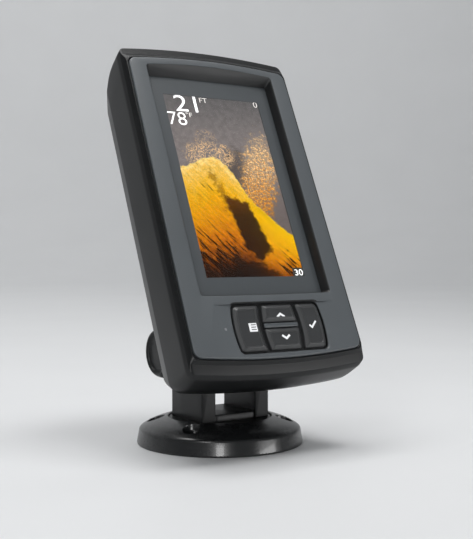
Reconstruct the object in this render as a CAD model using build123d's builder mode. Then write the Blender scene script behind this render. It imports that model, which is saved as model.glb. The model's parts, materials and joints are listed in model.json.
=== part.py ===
"""Compact fish finder on a tilt and swivel mount.

The row frame has +Z up and its origin at the centre of the mount's underside. The screen faces -Y and
leans back. Everything in the head is drawn on the "face" plane: x across, y up the screen, z out of
the screen towards the user, with its origin at the centre of the picture. Depths on that plane are
called levels. All sizes are in millimetres.
"""

import os
from math import cos, pi, radians, sin

from build123d import *

os.makedirs("parts", exist_ok=True)

# ---- Driving dimensions ------------------------------------------------------------------------------

# Picture and window
screen_width = 53.86
screen_height = 95.04
window_side_margin = 7.4
window_end_margin = 9.5
window_slope = 1.4
window_top_slope = 5.1
window_crown = 2.2
window_corner = 1.2

# Front bezel
bezel_side = 10.6
bezel_top = 8.8
key_band = 31.4
bezel_flare = 0.4
bezel_arch = 2.8
bezel_corner = 3.6
bezel_plate = 2.2
bezel_skirt_wall = 1.6
bezel_skirt_depth = 5.6
bezel_level = 6.0

# Rear housing
case_wall = 2.4
case_corner = 4.5
case_seam = 0.25
ledge_width = 3.2
ledge_thickness = 1.5
rim_drop = 0.8
step_drop = 2.6
lip_drop = 3.5
ridge_drop = 6.0
waist_drop = 17.0
shoulder_drop = 23.5
back_drop = 31.8

# Display stack
glass_thickness = 1.5
glass_level = 1.0
lens_seal_thickness = 0.2
panel_side_border = 6.7
panel_end_border = 5.2
panel_thickness = 1.6
backlight_thickness = 2.0
tray_wall = 0.4
foam_thickness = 0.5
stack_gap = 0.2

# Circuit board and screws that clamp it
board_thickness = 1.6
board_gap = 0.5
post_radius = 2.6
boss_radius = 3.2
case_screw_radius = 1.25
case_screw_head_radius = 2.6
case_screw_head_height = 1.8
case_screw_inset = 6.6
case_screw_below_top = 13.8
case_screw_above_chin = 10.4
case_screw_middle = -12.0

# Keys
keys_right_of_centre = 2.2
keys_below_window = 6.3
keys_above_chin = 3.7
keys_width = 46.0
menu_width = 13.6
centre_width = 16.4
key_gap = 2.0
side_bulge = 1.2
middle_bar = 3.0
key_corner = 1.2
key_clearance = 0.25
key_rise = 0.4
key_chamfer = 0.5
key_flange_width = 0.5
key_flange_thickness = 1.0
key_travel = 0.7
key_pocket = 1.2
plunger_radius = 2.2
plunger_length = 1.4
dome_radius = 3.2
dome_height = 0.7
mat_thickness = 0.6
switch_size = 6.0
status_light_radius = 0.6
status_light_offset = 29.4

# Sockets on the back
socket_spacing = 34.0
socket_height = -25.0
socket_barrel_radius = 7.5
socket_wall = 1.9
socket_flange_width = 2.0
socket_flange_thickness = 1.6
socket_reach = 7.0
socket_depth = 11.0
socket_nut_wall = 1.5
socket_nut_thickness = 2.4
pin_radius = 0.6
pin_circle_radius = 2.6
pin_reach = 4.5

# Tilt joint
rest_tilt = 24.6
pivot_height = 45.0
pivot_below_picture = 66.9
pivot_behind_picture = 43.0
lug_radius = 12.0
lug_root_height = 36.0
stud_radius = 3.0
stud_clearance = 0.05
insert_radius = 5.0
insert_length = 9.0
tilt_washer_thickness = 1.0
tilt_washer_radius = 11.0
stud_engagement = 7.0

# Swivel bracket
arm_gap = 22.5
arm_thickness = 7.7
arm_width = 28.2
arm_bore_clearance = 0.2
web_height = 3.2
turntable_radius = 24.8
turntable_thickness = 4.0
turntable_gap = 0.4
swivel_stub_radius = 8.0
swivel_gap = 0.05

# Knobs
knob_radius = 12.3
knob_length = 15.5
knob_edge = 3.0
knob_neck_radius = 9.0
knob_neck_length = 3.0
knob_dish_radius = 8.8
knob_dish_depth = 1.4
knob_washer_thickness = 0.9
knob_washer_radius = 8.0
knob_gap = 0.05

# Base
base_radius = 40.3
base_rim_top_radius = 39.1
base_rim_height = 7.5
base_shoulder_radius = 34.3
base_shoulder_height = 10.3
base_top_radius = 25.2
base_top_height = 13.0
base_hub_height = 7.8
base_web_thickness = 3.3
base_wall = 3.2
pad_thickness = 1.5
screw_spacing_x = 52.6
screw_spacing_y = 34.4
screw_hole_radius = 2.3
screw_head_radius = 4.4
screw_boss_radius = 5.6

# ---- Levels and planes of the head -------------------------------------------------------------------

tilt = radians(rest_tilt)
head_up = Vector(0, sin(tilt), cos(tilt))
head_out = Vector(0, -cos(tilt), sin(tilt))
pivot = Vector(0, 0, pivot_height)
face_origin = pivot + head_up * pivot_below_picture + head_out * pivot_behind_picture
face = Plane(origin=face_origin, x_dir=(1, 0, 0), z_dir=head_out)
side = Plane(origin=face_origin, x_dir=head_up, z_dir=(1, 0, 0))

plate_level = bezel_level - bezel_plate
skirt_level = plate_level - bezel_skirt_depth
seal_level = glass_level + lens_seal_thickness
glass_back_level = glass_level - glass_thickness
panel_level = glass_back_level - stack_gap
backlight_level = panel_level - panel_thickness
tray_level = backlight_level - backlight_thickness
foam_level = tray_level - tray_wall
board_level = foam_level - foam_thickness
board_back_level = board_level - board_thickness
back_level = bezel_level - back_drop
inner_back_level = back_level + case_wall
gasket_thickness = 1.2
ledge_level = skirt_level - gasket_thickness

window_half = screen_width / 2 + window_side_margin
window_top = screen_height / 2 + window_end_margin
bezel_half = window_half + bezel_side
bezel_top_edge = window_top + bezel_top
bezel_bottom_edge = -window_top - key_band
keys_height = key_band - keys_below_window - keys_above_chin
keys_centre = (keys_right_of_centre, -window_top - keys_below_window - keys_height / 2)

# ---- Helpers -----------------------------------------------------------------------------------------


def save(piece, label):
    """Label a finished piece and write it to its own file."""
    piece.part.label = label
    export_step(piece.part, f"parts/{label}.step")


def panel(half_width, top, bottom, crown, sag, corner, flare=0.0):
    """Upright panel with straight sides, arched ends and rounded corners."""
    with BuildSketch() as outline:
        with BuildLine():
            top_left = (flare - half_width, top - crown)
            top_right = (half_width - flare, top - crown)
            bottom_left = (-half_width - flare, bottom + sag)
            bottom_right = (half_width + flare, bottom + sag)
            Line(bottom_left, top_left)
            ThreePointArc(top_left, (0, top), top_right)
            Line(top_right, bottom_right)
            ThreePointArc(bottom_right, (0, bottom), bottom_left)
        make_face()
        fillet(outline.vertices(), corner)
    return outline.sketch


def bezel_outline(growth, corner=bezel_corner, top_growth=None, bottom_growth=None):
    """Outline of the bezel, grown outwards by the given amounts."""
    top = bezel_top_edge + (growth if top_growth is None else top_growth)
    bottom = bezel_bottom_edge - (growth if bottom_growth is None else bottom_growth)
    return panel(bezel_half + growth, top, bottom, bezel_arch, bezel_arch, corner, bezel_flare)


# Each station of the housing: drop below the bezel's face, then growth past the bezel's outline at the
# sides, at the top and at the chin.
case_stations = (
    (rim_drop, 1.2, 1.3, 1.2),
    (step_drop, 1.9, 3.2, 2.2),
    (lip_drop, 2.1, 6.9, 6.4),
    (ridge_drop, 2.8, 6.7, 7.8),
    (waist_drop, 2.2, 5.2, 9.6),
    (shoulder_drop, 1.8, -0.5, 8.2),
    (back_drop, -0.8, -8.0, 3.4),
)


def case_outline(station, inset=0.0):
    """Outline of the rear housing at one station, inset by a wall."""
    drop, sides, top, bottom = station
    return bezel_outline(sides - inset, case_corner, top - inset, bottom - inset)


def case_station_at(drop):
    """Station of the housing at any drop, interpolated between its neighbours."""
    for front, rear in zip(case_stations, case_stations[1:]):
        if front[0] <= drop <= rear[0]:
            share = (drop - front[0]) / (rear[0] - front[0])
            return tuple(a + share * (b - a) for a, b in zip(front, rear))
    raise ValueError("drop is outside the housing")


screw_across = bezel_half - case_screw_inset
screw_heights = (
    bezel_top_edge - case_screw_below_top,
    case_screw_middle,
    bezel_bottom_edge + case_screw_above_chin,
)
screw_points = [(across * screw_across, up) for across in (-1, 1) for up in screw_heights]

# ---- Keys: outlines shared by the keys, their openings and the mat -----------------------------------

half_keys = keys_width / 2
half_key_height = keys_height / 2
menu_right = menu_width - half_keys
centre_left = menu_right + key_gap
centre_right = centre_left + centre_width
enter_left = centre_right + key_gap
bar_half = middle_bar / 2
bar_offset = 1.0
up_bottom = bar_half + bar_offset
down_top = bar_offset - bar_half


def curved_key(left, right, bottom, top, left_bulge, right_bulge, growth=0.0):
    """Key outline: the part between bottom and top of a full-height shape with curved sides."""
    with BuildSketch() as outline:
        with BuildLine():
            ThreePointArc((left, -half_key_height), (left - left_bulge, 0), (left, half_key_height))
            Line((left, half_key_height), (right, half_key_height))
            ThreePointArc((right, half_key_height), (right + right_bulge, 0), (right, -half_key_height))
            Line((right, -half_key_height), (left, -half_key_height))
        make_face()
        with Locations((0, (top + bottom) / 2)):
            Rectangle(2 * keys_width, top - bottom, mode=Mode.INTERSECT)
        fillet(outline.vertices(), key_corner)
        if growth:
            offset(amount=growth)
    return outline.sketch.moved(Location((*keys_centre, 0)))


key_shapes = {
    "menu": (-half_keys, menu_right, -half_key_height, half_key_height, side_bulge, -side_bulge),
    "up": (centre_left, centre_right, up_bottom, half_key_height, side_bulge, side_bulge),
    "down": (centre_left, centre_right, -half_key_height, down_top, side_bulge, side_bulge),
    "enter": (enter_left, half_keys, -half_key_height, half_key_height, -side_bulge, side_bulge),
}


def key_centre(name):
    """Centre of a key on the face plane."""
    left, right, bottom, top = key_shapes[name][:4]
    return (keys_centre[0] + (left + right) / 2, keys_centre[1] + (bottom + top) / 2)


status_point = (keys_centre[0] - status_light_offset, keys_centre[1])

# ---- Rear housing ------------------------------------------------------------------------------------

arm_inner = arm_gap / 2
arm_outer = arm_inner + arm_thickness
lug_half = arm_inner - tilt_washer_thickness - swivel_gap
socket_points = [(across * socket_spacing / 2, socket_height) for across in (-1, 1)]
inner_stations = [station for station in case_stations if station[0] > bezel_level - ledge_level]
cavity_front = bezel_level - ledge_level + ledge_thickness
cavity_stations = [case_station_at(cavity_front), *inner_stations[:-1]]
cavity_back = case_station_at(back_drop - case_wall)

with BuildPart() as rear_housing:
    for station in case_stations:
        with BuildSketch(face.offset(bezel_level - station[0])):
            add(case_outline(station))
    loft(ruled=True)
    # Lug that hangs between the bracket's arms
    with BuildSketch(side):
        with Locations((-pivot_below_picture, -pivot_behind_picture)):
            Circle(lug_radius)
        with BuildLine():
            Polyline(
                (-pivot_below_picture - lug_radius, -pivot_behind_picture),
                (-pivot_below_picture + lug_radius, -pivot_behind_picture),
                (lug_root_height / 2 - pivot_below_picture, inner_back_level),
                (-lug_root_height / 2 - pivot_below_picture, inner_back_level),
                close=True,
            )
        make_face()
    extrude(amount=lug_half, both=True)
    # Pocket for the bezel, opening of the ledge and the room behind it
    with BuildSketch(face.offset(ledge_level)):
        add(bezel_outline(case_seam))
    extrude(amount=bezel_level - ledge_level, mode=Mode.SUBTRACT)
    with BuildSketch(face.offset(ledge_level)):
        add(bezel_outline(-ledge_width))
    extrude(amount=-ledge_thickness, mode=Mode.SUBTRACT)
    for station in [*cavity_stations, cavity_back]:
        with BuildSketch(face.offset(bezel_level - station[0])):
            add(case_outline(station, case_wall))
    loft(ruled=True, mode=Mode.SUBTRACT)
    # Bosses behind the circuit board, with screws let in from the back
    with BuildSketch(face.offset(board_back_level)):
        with Locations(*screw_points):
            Circle(boss_radius)
    extrude(amount=inner_back_level - board_back_level - case_wall / 2)
    with BuildSketch(face.offset(back_level)):
        with Locations(*screw_points):
            Circle(case_screw_radius + 0.15)
    extrude(amount=board_back_level - back_level, mode=Mode.SUBTRACT)
    with BuildSketch(face.offset(inner_back_level + case_wall)):
        with Locations(*screw_points):
            Circle(case_screw_head_radius + 0.2)
    extrude(amount=-back_drop, mode=Mode.SUBTRACT)
    # Holes for the two sockets
    with BuildSketch(face.offset(back_level)):
        with Locations(*socket_points):
            Circle(socket_barrel_radius + 0.1)
    extrude(amount=2 * case_wall, mode=Mode.SUBTRACT)
    # Seats for the pivot's threaded inserts
    for direction in (-1, 1):
        with BuildSketch(Plane.YZ.offset(direction * lug_half)):
            with Locations((pivot.Y, pivot.Z)):
                Circle(insert_radius)
        extrude(amount=-direction * insert_length, mode=Mode.SUBTRACT)
save(rear_housing, "rear_housing")

# ---- Front bezel -------------------------------------------------------------------------------------

collar_wall = 2.6

with BuildPart() as front_bezel:
    with BuildSketch(face.offset(plate_level)):
        add(bezel_outline(0))
    extrude(amount=bezel_plate)
    with BuildSketch(face.offset(skirt_level)):
        add(bezel_outline(0))
        add(bezel_outline(-bezel_skirt_wall, bezel_corner - bezel_skirt_wall / 2), mode=Mode.SUBTRACT)
    extrude(amount=bezel_skirt_depth)
    # Collar that carries the lens, and posts that reach the circuit board
    with BuildSketch(face.offset(seal_level)):
        collar_top = window_top + collar_wall
        add(panel(window_half + collar_wall, collar_top, -collar_top, 0.5, 0.5, 1))
    extrude(amount=plate_level - seal_level)
    with BuildSketch(face.offset(board_level)):
        with Locations(*screw_points):
            Circle(post_radius)
    extrude(amount=plate_level - board_level)
    with BuildSketch(face.offset(board_level)):
        with Locations(*screw_points):
            Circle(case_screw_radius)
    extrude(amount=plate_level - board_level, mode=Mode.SUBTRACT)
    # Sloped window
    with BuildSketch(face.offset(seal_level)):
        add(panel(window_half, window_top, -window_top, 0.3, 0.3, window_corner / 2))
    with BuildSketch(face.offset(bezel_level)):
        add(
            panel(
                window_half + window_slope,
                window_top + window_top_slope,
                -window_top - window_slope,
                window_crown,
                0.3,
                window_corner,
            )
        )
    loft(ruled=True, mode=Mode.SUBTRACT)
    # Shallow pocket around the keys, an opening for each key and the bar between up and down
    with BuildSketch(face.offset(bezel_level)):
        add(
            curved_key(
                -half_keys,
                half_keys,
                -half_key_height,
                half_key_height,
                side_bulge,
                side_bulge,
                key_gap / 2,
            )
        )
    extrude(amount=-key_pocket, mode=Mode.SUBTRACT)
    with BuildSketch(face.offset(bezel_level - key_pocket)):
        with Locations((keys_centre[0] + (centre_left + centre_right) / 2, keys_centre[1] + bar_offset)):
            Rectangle(centre_width, middle_bar - 2 * key_clearance)
    extrude(amount=key_pocket - key_clearance)
    for shape in key_shapes.values():
        with BuildSketch(face.offset(plate_level)):
            add(curved_key(*shape, key_clearance))
        extrude(amount=bezel_plate, mode=Mode.SUBTRACT)
    with BuildSketch(face.offset(plate_level)):
        with Locations(status_point):
            Circle(status_light_radius + 0.05)
    extrude(amount=bezel_plate, mode=Mode.SUBTRACT)
save(front_bezel, "front_bezel")

with BuildPart() as case_gasket:
    with BuildSketch(face.offset(ledge_level)):
        add(bezel_outline(-0.1))
        add(bezel_outline(0.1 - ledge_width, bezel_corner - bezel_skirt_wall / 2), mode=Mode.SUBTRACT)
    extrude(amount=gasket_thickness)
save(case_gasket, "case_gasket")

# ---- Display stack -----------------------------------------------------------------------------------

glass_overlap = 1.4
glass_width = 2 * (window_half + glass_overlap)
glass_height = 2 * (window_top + glass_overlap)
panel_width = screen_width + 2 * panel_side_border
panel_height = screen_height + 2 * panel_end_border
tray_room = 0.2

with BuildPart() as display_lens:
    with BuildSketch(face.offset(glass_back_level)):
        RectangleRounded(glass_width, glass_height, window_corner)
    extrude(amount=glass_thickness)
save(display_lens, "display_lens")

with BuildPart() as lens_seal:
    with BuildSketch(face.offset(glass_level)):
        RectangleRounded(glass_width, glass_height, window_corner)
        Rectangle(2 * window_half + 0.6, 2 * window_top + 0.6, mode=Mode.SUBTRACT)
    extrude(amount=lens_seal_thickness)
save(lens_seal, "lens_seal")

with BuildPart() as lcd_panel:
    with BuildSketch(face.offset(backlight_level)):
        Rectangle(panel_width, panel_height)
    extrude(amount=panel_thickness)
save(lcd_panel, "lcd_panel")

with BuildPart() as backlight:
    with BuildSketch(face.offset(tray_level)):
        Rectangle(panel_width, panel_height)
    extrude(amount=backlight_thickness)
save(backlight, "backlight")

tray_width = panel_width + 2 * (tray_room + tray_wall)
tray_height = panel_height + 2 * (tray_room + tray_wall)
with BuildPart() as display_tray:
    with BuildSketch(face.offset(foam_level)):
        RectangleRounded(tray_width, tray_height, 1)
    extrude(amount=panel_level - foam_level)
    with BuildSketch(face.offset(tray_level)):
        Rectangle(panel_width + 2 * tray_room, panel_height + 2 * tray_room)
    extrude(amount=panel_level - tray_level, mode=Mode.SUBTRACT)
save(display_tray, "display_tray")

with BuildPart() as display_foam:
    with BuildSketch(face.offset(board_level)):
        RectangleRounded(panel_width - 4, panel_height - 4, 2)
        RectangleRounded(panel_width - 12, panel_height - 12, 2, mode=Mode.SUBTRACT)
    extrude(amount=foam_thickness)
save(display_foam, "display_foam")

# ---- Circuit board and what stands on it -------------------------------------------------------------

with BuildPart() as main_board:
    with BuildSketch(face.offset(board_back_level)):
        add(bezel_outline(-ledge_width - board_gap, 2))
        with Locations(*screw_points):
            Circle(case_screw_radius + 0.15, mode=Mode.SUBTRACT)
    extrude(amount=board_thickness)
save(main_board, "main_board")


def on_board_back(points, width, height, tall):
    """Rectangular components that stand on the back of the circuit board."""
    with BuildPart() as components:
        with BuildSketch(face.offset(board_back_level)):
            with Locations(*points):
                Rectangle(width, height)
        extrude(amount=-tall)
    return components


def round_on_board_back(points, radius, tall):
    """Round components that stand on the back of the circuit board."""
    with BuildPart() as components:
        with BuildSketch(face.offset(board_back_level)):
            with Locations(*points):
                Circle(radius)
        extrude(amount=-tall)
    return components


save(on_board_back([(0, 20)], 14, 14, 1.4), "processor")
save(on_board_back([(-18, 20), (18, 20), (0, 38), (-20, 2), (20, 2)], 8, 10, 1.2), "board_chips")
save(on_board_back([(-22, -62)], 18, 16, 11), "sonar_transformer")
save(round_on_board_back([(-26, 46), (-14, 46), (22, -62)], 4, 10), "capacitors")
save(round_on_board_back([(20, 44)], 6, 5), "buzzer")

header_height = 8.0
header_size = 12.0
save(on_board_back(socket_points, header_size, header_size, header_height), "socket_headers")

switch_top_level = bezel_level - bezel_plate - key_flange_thickness - plunger_length
mat_top_level = switch_top_level - key_travel - 0.1 - dome_height
mat_level = mat_top_level - mat_thickness
switch_height = mat_level - stack_gap - board_level

with BuildPart() as key_switches:
    with BuildSketch(face.offset(board_level)):
        with Locations(*[key_centre(name) for name in key_shapes]):
            Rectangle(switch_size, switch_size)
    extrude(amount=switch_height * 0.8)
    with BuildSketch(face.offset(board_level)):
        with Locations(*[key_centre(name) for name in key_shapes]):
            Circle(switch_size * 0.3)
    extrude(amount=switch_height)
save(key_switches, "key_switches")

with BuildPart() as keypad_mat:
    with BuildSketch(face.offset(mat_level)):
        with Locations(keys_centre):
            RectangleRounded(keys_width + 5, keys_height, 2)
    extrude(amount=mat_thickness)
    with BuildSketch(face.offset(mat_top_level)):
        with Locations(*[key_centre(name) for name in key_shapes]):
            Circle(dome_radius)
    extrude(amount=dome_height)
save(keypad_mat, "keypad_mat")

led_height = 0.8
with BuildPart() as status_led:
    with BuildSketch(face.offset(board_level)):
        with Locations(status_point):
            Rectangle(2, 1.4)
    extrude(amount=led_height)
save(status_led, "status_led")

with BuildPart() as light_pipe:
    with BuildSketch(face.offset(board_level + led_height)):
        with Locations(status_point):
            Circle(status_light_radius)
    extrude(amount=bezel_level - board_level - led_height)
save(light_pipe, "light_pipe")

with BuildPart() as case_screws:
    with BuildSketch(face.offset(back_level + case_wall)):
        with Locations(*screw_points):
            Circle(case_screw_head_radius)
    extrude(amount=-case_screw_head_height)
    with BuildSketch(face.offset(back_level + case_wall)):
        with Locations(*screw_points):
            Circle(case_screw_radius)
    extrude(amount=seal_level - back_level - case_wall)
save(case_screws, "case_screws")

# ---- Keys --------------------------------------------------------------------------------------------

for name, shape in key_shapes.items():
    with BuildPart() as key:
        with BuildSketch(face.offset(plate_level)):
            add(curved_key(*shape))
        extrude(amount=bezel_level + key_rise - plate_level)
        chamfer(key.faces().sort_by(Axis(face_origin, head_out))[-1].edges(), key_chamfer)
        with BuildSketch(face.offset(plate_level - key_flange_thickness)):
            add(curved_key(*shape, key_flange_width))
        extrude(amount=key_flange_thickness)
        with BuildSketch(face.offset(plate_level - key_flange_thickness - plunger_length)):
            with Locations(key_centre(name)):
                Circle(plunger_radius)
        extrude(amount=plunger_length)
    save(key, f"key_{name}")

# ---- Sockets -----------------------------------------------------------------------------------------

flange_level = back_level - socket_flange_thickness
mouth_level = back_level - socket_reach
socket_floor_level = mouth_level + socket_depth
socket_inner_level = socket_floor_level + 2.0
seal_radius = socket_barrel_radius + socket_flange_width / 2
seal_half = 0.5

for name, point, pin_count in (("power", socket_points[0], 2), ("transducer", socket_points[1], 4)):
    with BuildPart() as socket:
        with BuildSketch(face.offset(mouth_level)):
            with Locations(point):
                Circle(socket_barrel_radius)
        extrude(amount=socket_inner_level - mouth_level)
        with BuildSketch(face.offset(flange_level)):
            with Locations(point):
                Circle(socket_barrel_radius + socket_flange_width)
        extrude(amount=socket_flange_thickness)
        with BuildSketch(face.offset(mouth_level)):
            with Locations(point):
                Circle(socket_barrel_radius - socket_wall)
        extrude(amount=socket_depth, mode=Mode.SUBTRACT)
        with BuildSketch(face.offset(back_level)):
            with Locations(point):
                Circle(seal_radius + seal_half)
                Circle(seal_radius - seal_half, mode=Mode.SUBTRACT)
        extrude(amount=-socket_flange_thickness / 2, mode=Mode.SUBTRACT)
        with BuildSketch(face.offset(socket_floor_level)):
            with Locations(point):
                with PolarLocations(pin_circle_radius, pin_count):
                    Circle(pin_radius)
        extrude(amount=socket_inner_level - socket_floor_level, mode=Mode.SUBTRACT)
    save(socket, f"{name}_socket")

    with BuildPart() as pins:
        with BuildSketch(face.offset(socket_floor_level - pin_reach)):
            with Locations(point):
                with PolarLocations(pin_circle_radius, pin_count):
                    Circle(pin_radius)
        extrude(amount=board_back_level - header_height - socket_floor_level + pin_reach)
    save(pins, f"{name}_pins")

with BuildPart() as socket_seals:
    with BuildSketch(face.offset(back_level)):
        for point in socket_points:
            with Locations(point):
                Circle(seal_radius + seal_half)
                Circle(seal_radius - seal_half, mode=Mode.SUBTRACT)
    extrude(amount=-socket_flange_thickness / 2)
save(socket_seals, "socket_seals")

with BuildPart() as socket_nuts:
    with BuildSketch(face.offset(inner_back_level)):
        for point in socket_points:
            with Locations(point):
                RegularPolygon(socket_barrel_radius + socket_nut_wall, 6, major_radius=False)
                Circle(socket_barrel_radius, mode=Mode.SUBTRACT)
    extrude(amount=socket_nut_thickness)
save(socket_nuts, "socket_nuts")

# ---- Tilt joint --------------------------------------------------------------------------------------

with BuildPart() as pivot_inserts:
    for direction in (-1, 1):
        with BuildSketch(Plane.YZ.offset(direction * lug_half)):
            with Locations((pivot.Y, pivot.Z)):
                Circle(insert_radius)
                Circle(stud_radius + stud_clearance, mode=Mode.SUBTRACT)
        extrude(amount=-direction * insert_length)
save(pivot_inserts, "pivot_inserts")

with BuildPart() as tilt_washers:
    for direction in (-1, 1):
        with BuildSketch(Plane.YZ.offset(direction * lug_half)):
            with Locations((pivot.Y, pivot.Z)):
                Circle(tilt_washer_radius)
                Circle(stud_radius + 2 * stud_clearance, mode=Mode.SUBTRACT)
        extrude(amount=direction * tilt_washer_thickness)
save(tilt_washers, "tilt_washers")

# ---- Knobs, one each side ----------------------------------------------------------------------------

knob_washer_start = arm_outer + knob_gap
knob_start = knob_washer_start + knob_washer_thickness
knob_face = knob_start + knob_length
knob_dish_face = knob_face - knob_dish_depth
stud_tip = lug_half - stud_engagement
stud_bury = 6.0

for name, direction in (("left", -1), ("right", 1)):
    with BuildPart() as knob_washer:
        with BuildSketch(Plane.YZ.offset(direction * knob_washer_start)):
            with Locations((pivot.Y, pivot.Z)):
                Circle(knob_washer_radius)
                Circle(stud_radius + 2 * stud_clearance, mode=Mode.SUBTRACT)
        extrude(amount=direction * knob_washer_thickness)
    save(knob_washer, f"knob_washer_{name}")

    knob_axis = Axis((0, pivot.Y, pivot.Z), (direction, 0, 0))
    with BuildPart() as knob:
        with BuildSketch(Plane.XZ.offset(-pivot.Y)):
            with BuildLine():
                Polyline(
                    (direction * knob_start, pivot.Z),
                    (direction * knob_start, pivot.Z + knob_neck_radius),
                    (direction * (knob_start + knob_neck_length), pivot.Z + knob_neck_radius),
                    (direction * (knob_start + knob_neck_length), pivot.Z + knob_radius),
                    (direction * (knob_face - knob_edge), pivot.Z + knob_radius),
                )
                ThreePointArc(
                    (direction * (knob_face - knob_edge), pivot.Z + knob_radius),
                    (
                        direction * (knob_face - knob_edge * (1 - sin(pi / 4))),
                        pivot.Z + knob_radius - knob_edge * (1 - cos(pi / 4)),
                    ),
                    (direction * knob_face, pivot.Z + knob_radius - knob_edge),
                )
                Polyline(
                    (direction * knob_face, pivot.Z + knob_radius - knob_edge),
                    (direction * knob_face, pivot.Z + knob_dish_radius),
                    (direction * knob_dish_face, pivot.Z + knob_dish_radius - knob_dish_depth),
                    (direction * knob_dish_face, pivot.Z),
                    (direction * knob_start, pivot.Z),
                )
            make_face()
        revolve(axis=knob_axis)
        with BuildSketch(Plane.YZ.offset(direction * knob_start)):
            with Locations((pivot.Y, pivot.Z)):
                Circle(stud_radius)
        extrude(amount=direction * stud_bury, mode=Mode.SUBTRACT)
    save(knob, f"knob_{name}")

    with BuildPart() as stud:
        with BuildSketch(Plane.YZ.offset(direction * stud_tip)):
            with Locations((pivot.Y, pivot.Z)):
                Circle(stud_radius)
        extrude(amount=direction * (knob_start + stud_bury - stud_tip))
    save(stud, f"knob_stud_{name}")

# ---- Swivel bracket ----------------------------------------------------------------------------------

swivel_washer_thickness = 0.5
turntable_level = base_hub_height + swivel_washer_thickness + swivel_gap
turntable_top = turntable_level + turntable_thickness
stub_bottom = base_hub_height - base_web_thickness - 2 * swivel_gap
retainer_thickness = 1.4
retainer_radius = 12.0
swivel_screw_radius = 2.0
swivel_screw_head_radius = 4.5
swivel_screw_head_height = stub_bottom - retainer_thickness - pad_thickness - 2 * swivel_gap
swivel_screw_depth = 7.0

with BuildPart() as swivel_bracket:
    with BuildSketch(Plane.XY.offset(turntable_level)):
        Circle(turntable_radius)
    extrude(amount=turntable_thickness)
    with BuildSketch(Plane.XY.offset(stub_bottom)):
        Circle(swivel_stub_radius)
    extrude(amount=turntable_level - stub_bottom)
    # Two arms with round ends, and the raised floor between them
    for direction in (-1, 1):
        with BuildSketch(Plane.YZ.offset(direction * arm_inner)):
            with BuildLine():
                Polyline(
                    (-arm_width / 2, pivot.Z),
                    (-arm_width / 2, turntable_top),
                    (arm_width / 2, turntable_top),
                    (arm_width / 2, pivot.Z),
                )
                ThreePointArc(
                    (arm_width / 2, pivot.Z),
                    (0, pivot.Z + arm_width / 2),
                    (-arm_width / 2, pivot.Z),
                )
            make_face()
            with Locations((pivot.Y, pivot.Z)):
                Circle(stud_radius + arm_bore_clearance, mode=Mode.SUBTRACT)
        extrude(amount=direction * arm_thickness)
    with BuildSketch(Plane.XY.offset(turntable_top)):
        Rectangle(arm_gap, arm_width)
    extrude(amount=web_height)
    with BuildSketch(Plane.XY.offset(stub_bottom)):
        Circle(swivel_screw_radius)
    extrude(amount=swivel_screw_depth, mode=Mode.SUBTRACT)
save(swivel_bracket, "swivel_bracket")

with BuildPart() as swivel_washer:
    with BuildSketch(Plane.XY.offset(base_hub_height)):
        Circle(base_top_radius - turntable_gap)
        Circle(swivel_stub_radius + turntable_gap, mode=Mode.SUBTRACT)
    extrude(amount=swivel_washer_thickness)
save(swivel_washer, "swivel_washer")

with BuildPart() as retaining_washer:
    with BuildSketch(Plane.XY.offset(stub_bottom - retainer_thickness)):
        Circle(retainer_radius)
        Circle(swivel_screw_radius, mode=Mode.SUBTRACT)
    extrude(amount=retainer_thickness)
save(retaining_washer, "retaining_washer")

with BuildPart() as swivel_screw:
    with BuildSketch(Plane.XY.offset(stub_bottom - retainer_thickness)):
        Circle(swivel_screw_head_radius)
    extrude(amount=-swivel_screw_head_height)
    with BuildSketch(Plane.XY.offset(stub_bottom - retainer_thickness)):
        Circle(swivel_screw_radius)
    extrude(amount=retainer_thickness + swivel_screw_depth)
save(swivel_screw, "swivel_screw")

# ---- Base --------------------------------------------------------------------------------------------

pad_radius = base_radius - base_wall
cavity_outer_radius = base_shoulder_radius
cavity_inner_radius = retainer_radius + base_wall
cavity_height = base_hub_height - base_web_thickness - pad_thickness
cone_slope = (base_top_height - base_shoulder_height) / (base_shoulder_radius - base_top_radius)
screw_radius_from_axis = ((screw_spacing_x / 2) ** 2 + (screw_spacing_y / 2) ** 2) ** 0.5
screw_seat_height = base_top_height - cone_slope * (screw_radius_from_axis - base_top_radius)

with BuildPart() as mounting_base:
    with BuildSketch(Plane.XZ):
        with BuildLine():
            Polyline(
                (swivel_stub_radius + swivel_gap, base_hub_height),
                (swivel_stub_radius + swivel_gap, pad_thickness),
                (pad_radius, pad_thickness),
                (pad_radius, 0),
                (base_radius, 0),
                (base_rim_top_radius, base_rim_height),
                (base_shoulder_radius, base_shoulder_height),
                (base_top_radius, base_top_height),
                (base_top_radius, base_hub_height),
                close=True,
            )
        make_face()
    revolve(axis=Axis.Z)
    # Room under the hub for the retaining washer, and a cored-out ring round it
    with BuildSketch(Plane.XY.offset(pad_thickness)):
        Circle(retainer_radius + 1)
    extrude(amount=cavity_height, mode=Mode.SUBTRACT)
    with BuildSketch(Plane.XY.offset(pad_thickness)):
        Circle(cavity_outer_radius)
        Circle(cavity_inner_radius, mode=Mode.SUBTRACT)
        with GridLocations(screw_spacing_x, screw_spacing_y, 2, 2):
            Circle(screw_boss_radius, mode=Mode.SUBTRACT)
    extrude(amount=cavity_height, mode=Mode.SUBTRACT)
    with Locations(Plane.XY.offset(screw_seat_height)):
        with GridLocations(screw_spacing_x, screw_spacing_y, 2, 2):
            CounterSinkHole(screw_hole_radius, screw_head_radius, screw_seat_height)
save(mounting_base, "mounting_base")

with BuildPart() as base_pad:
    with BuildSketch(Plane.XY):
        Circle(pad_radius - turntable_gap / 4)
        with GridLocations(screw_spacing_x, screw_spacing_y, 2, 2):
            Circle(screw_hole_radius, mode=Mode.SUBTRACT)
    extrude(amount=pad_thickness)
save(base_pad, "base_pad")
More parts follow.
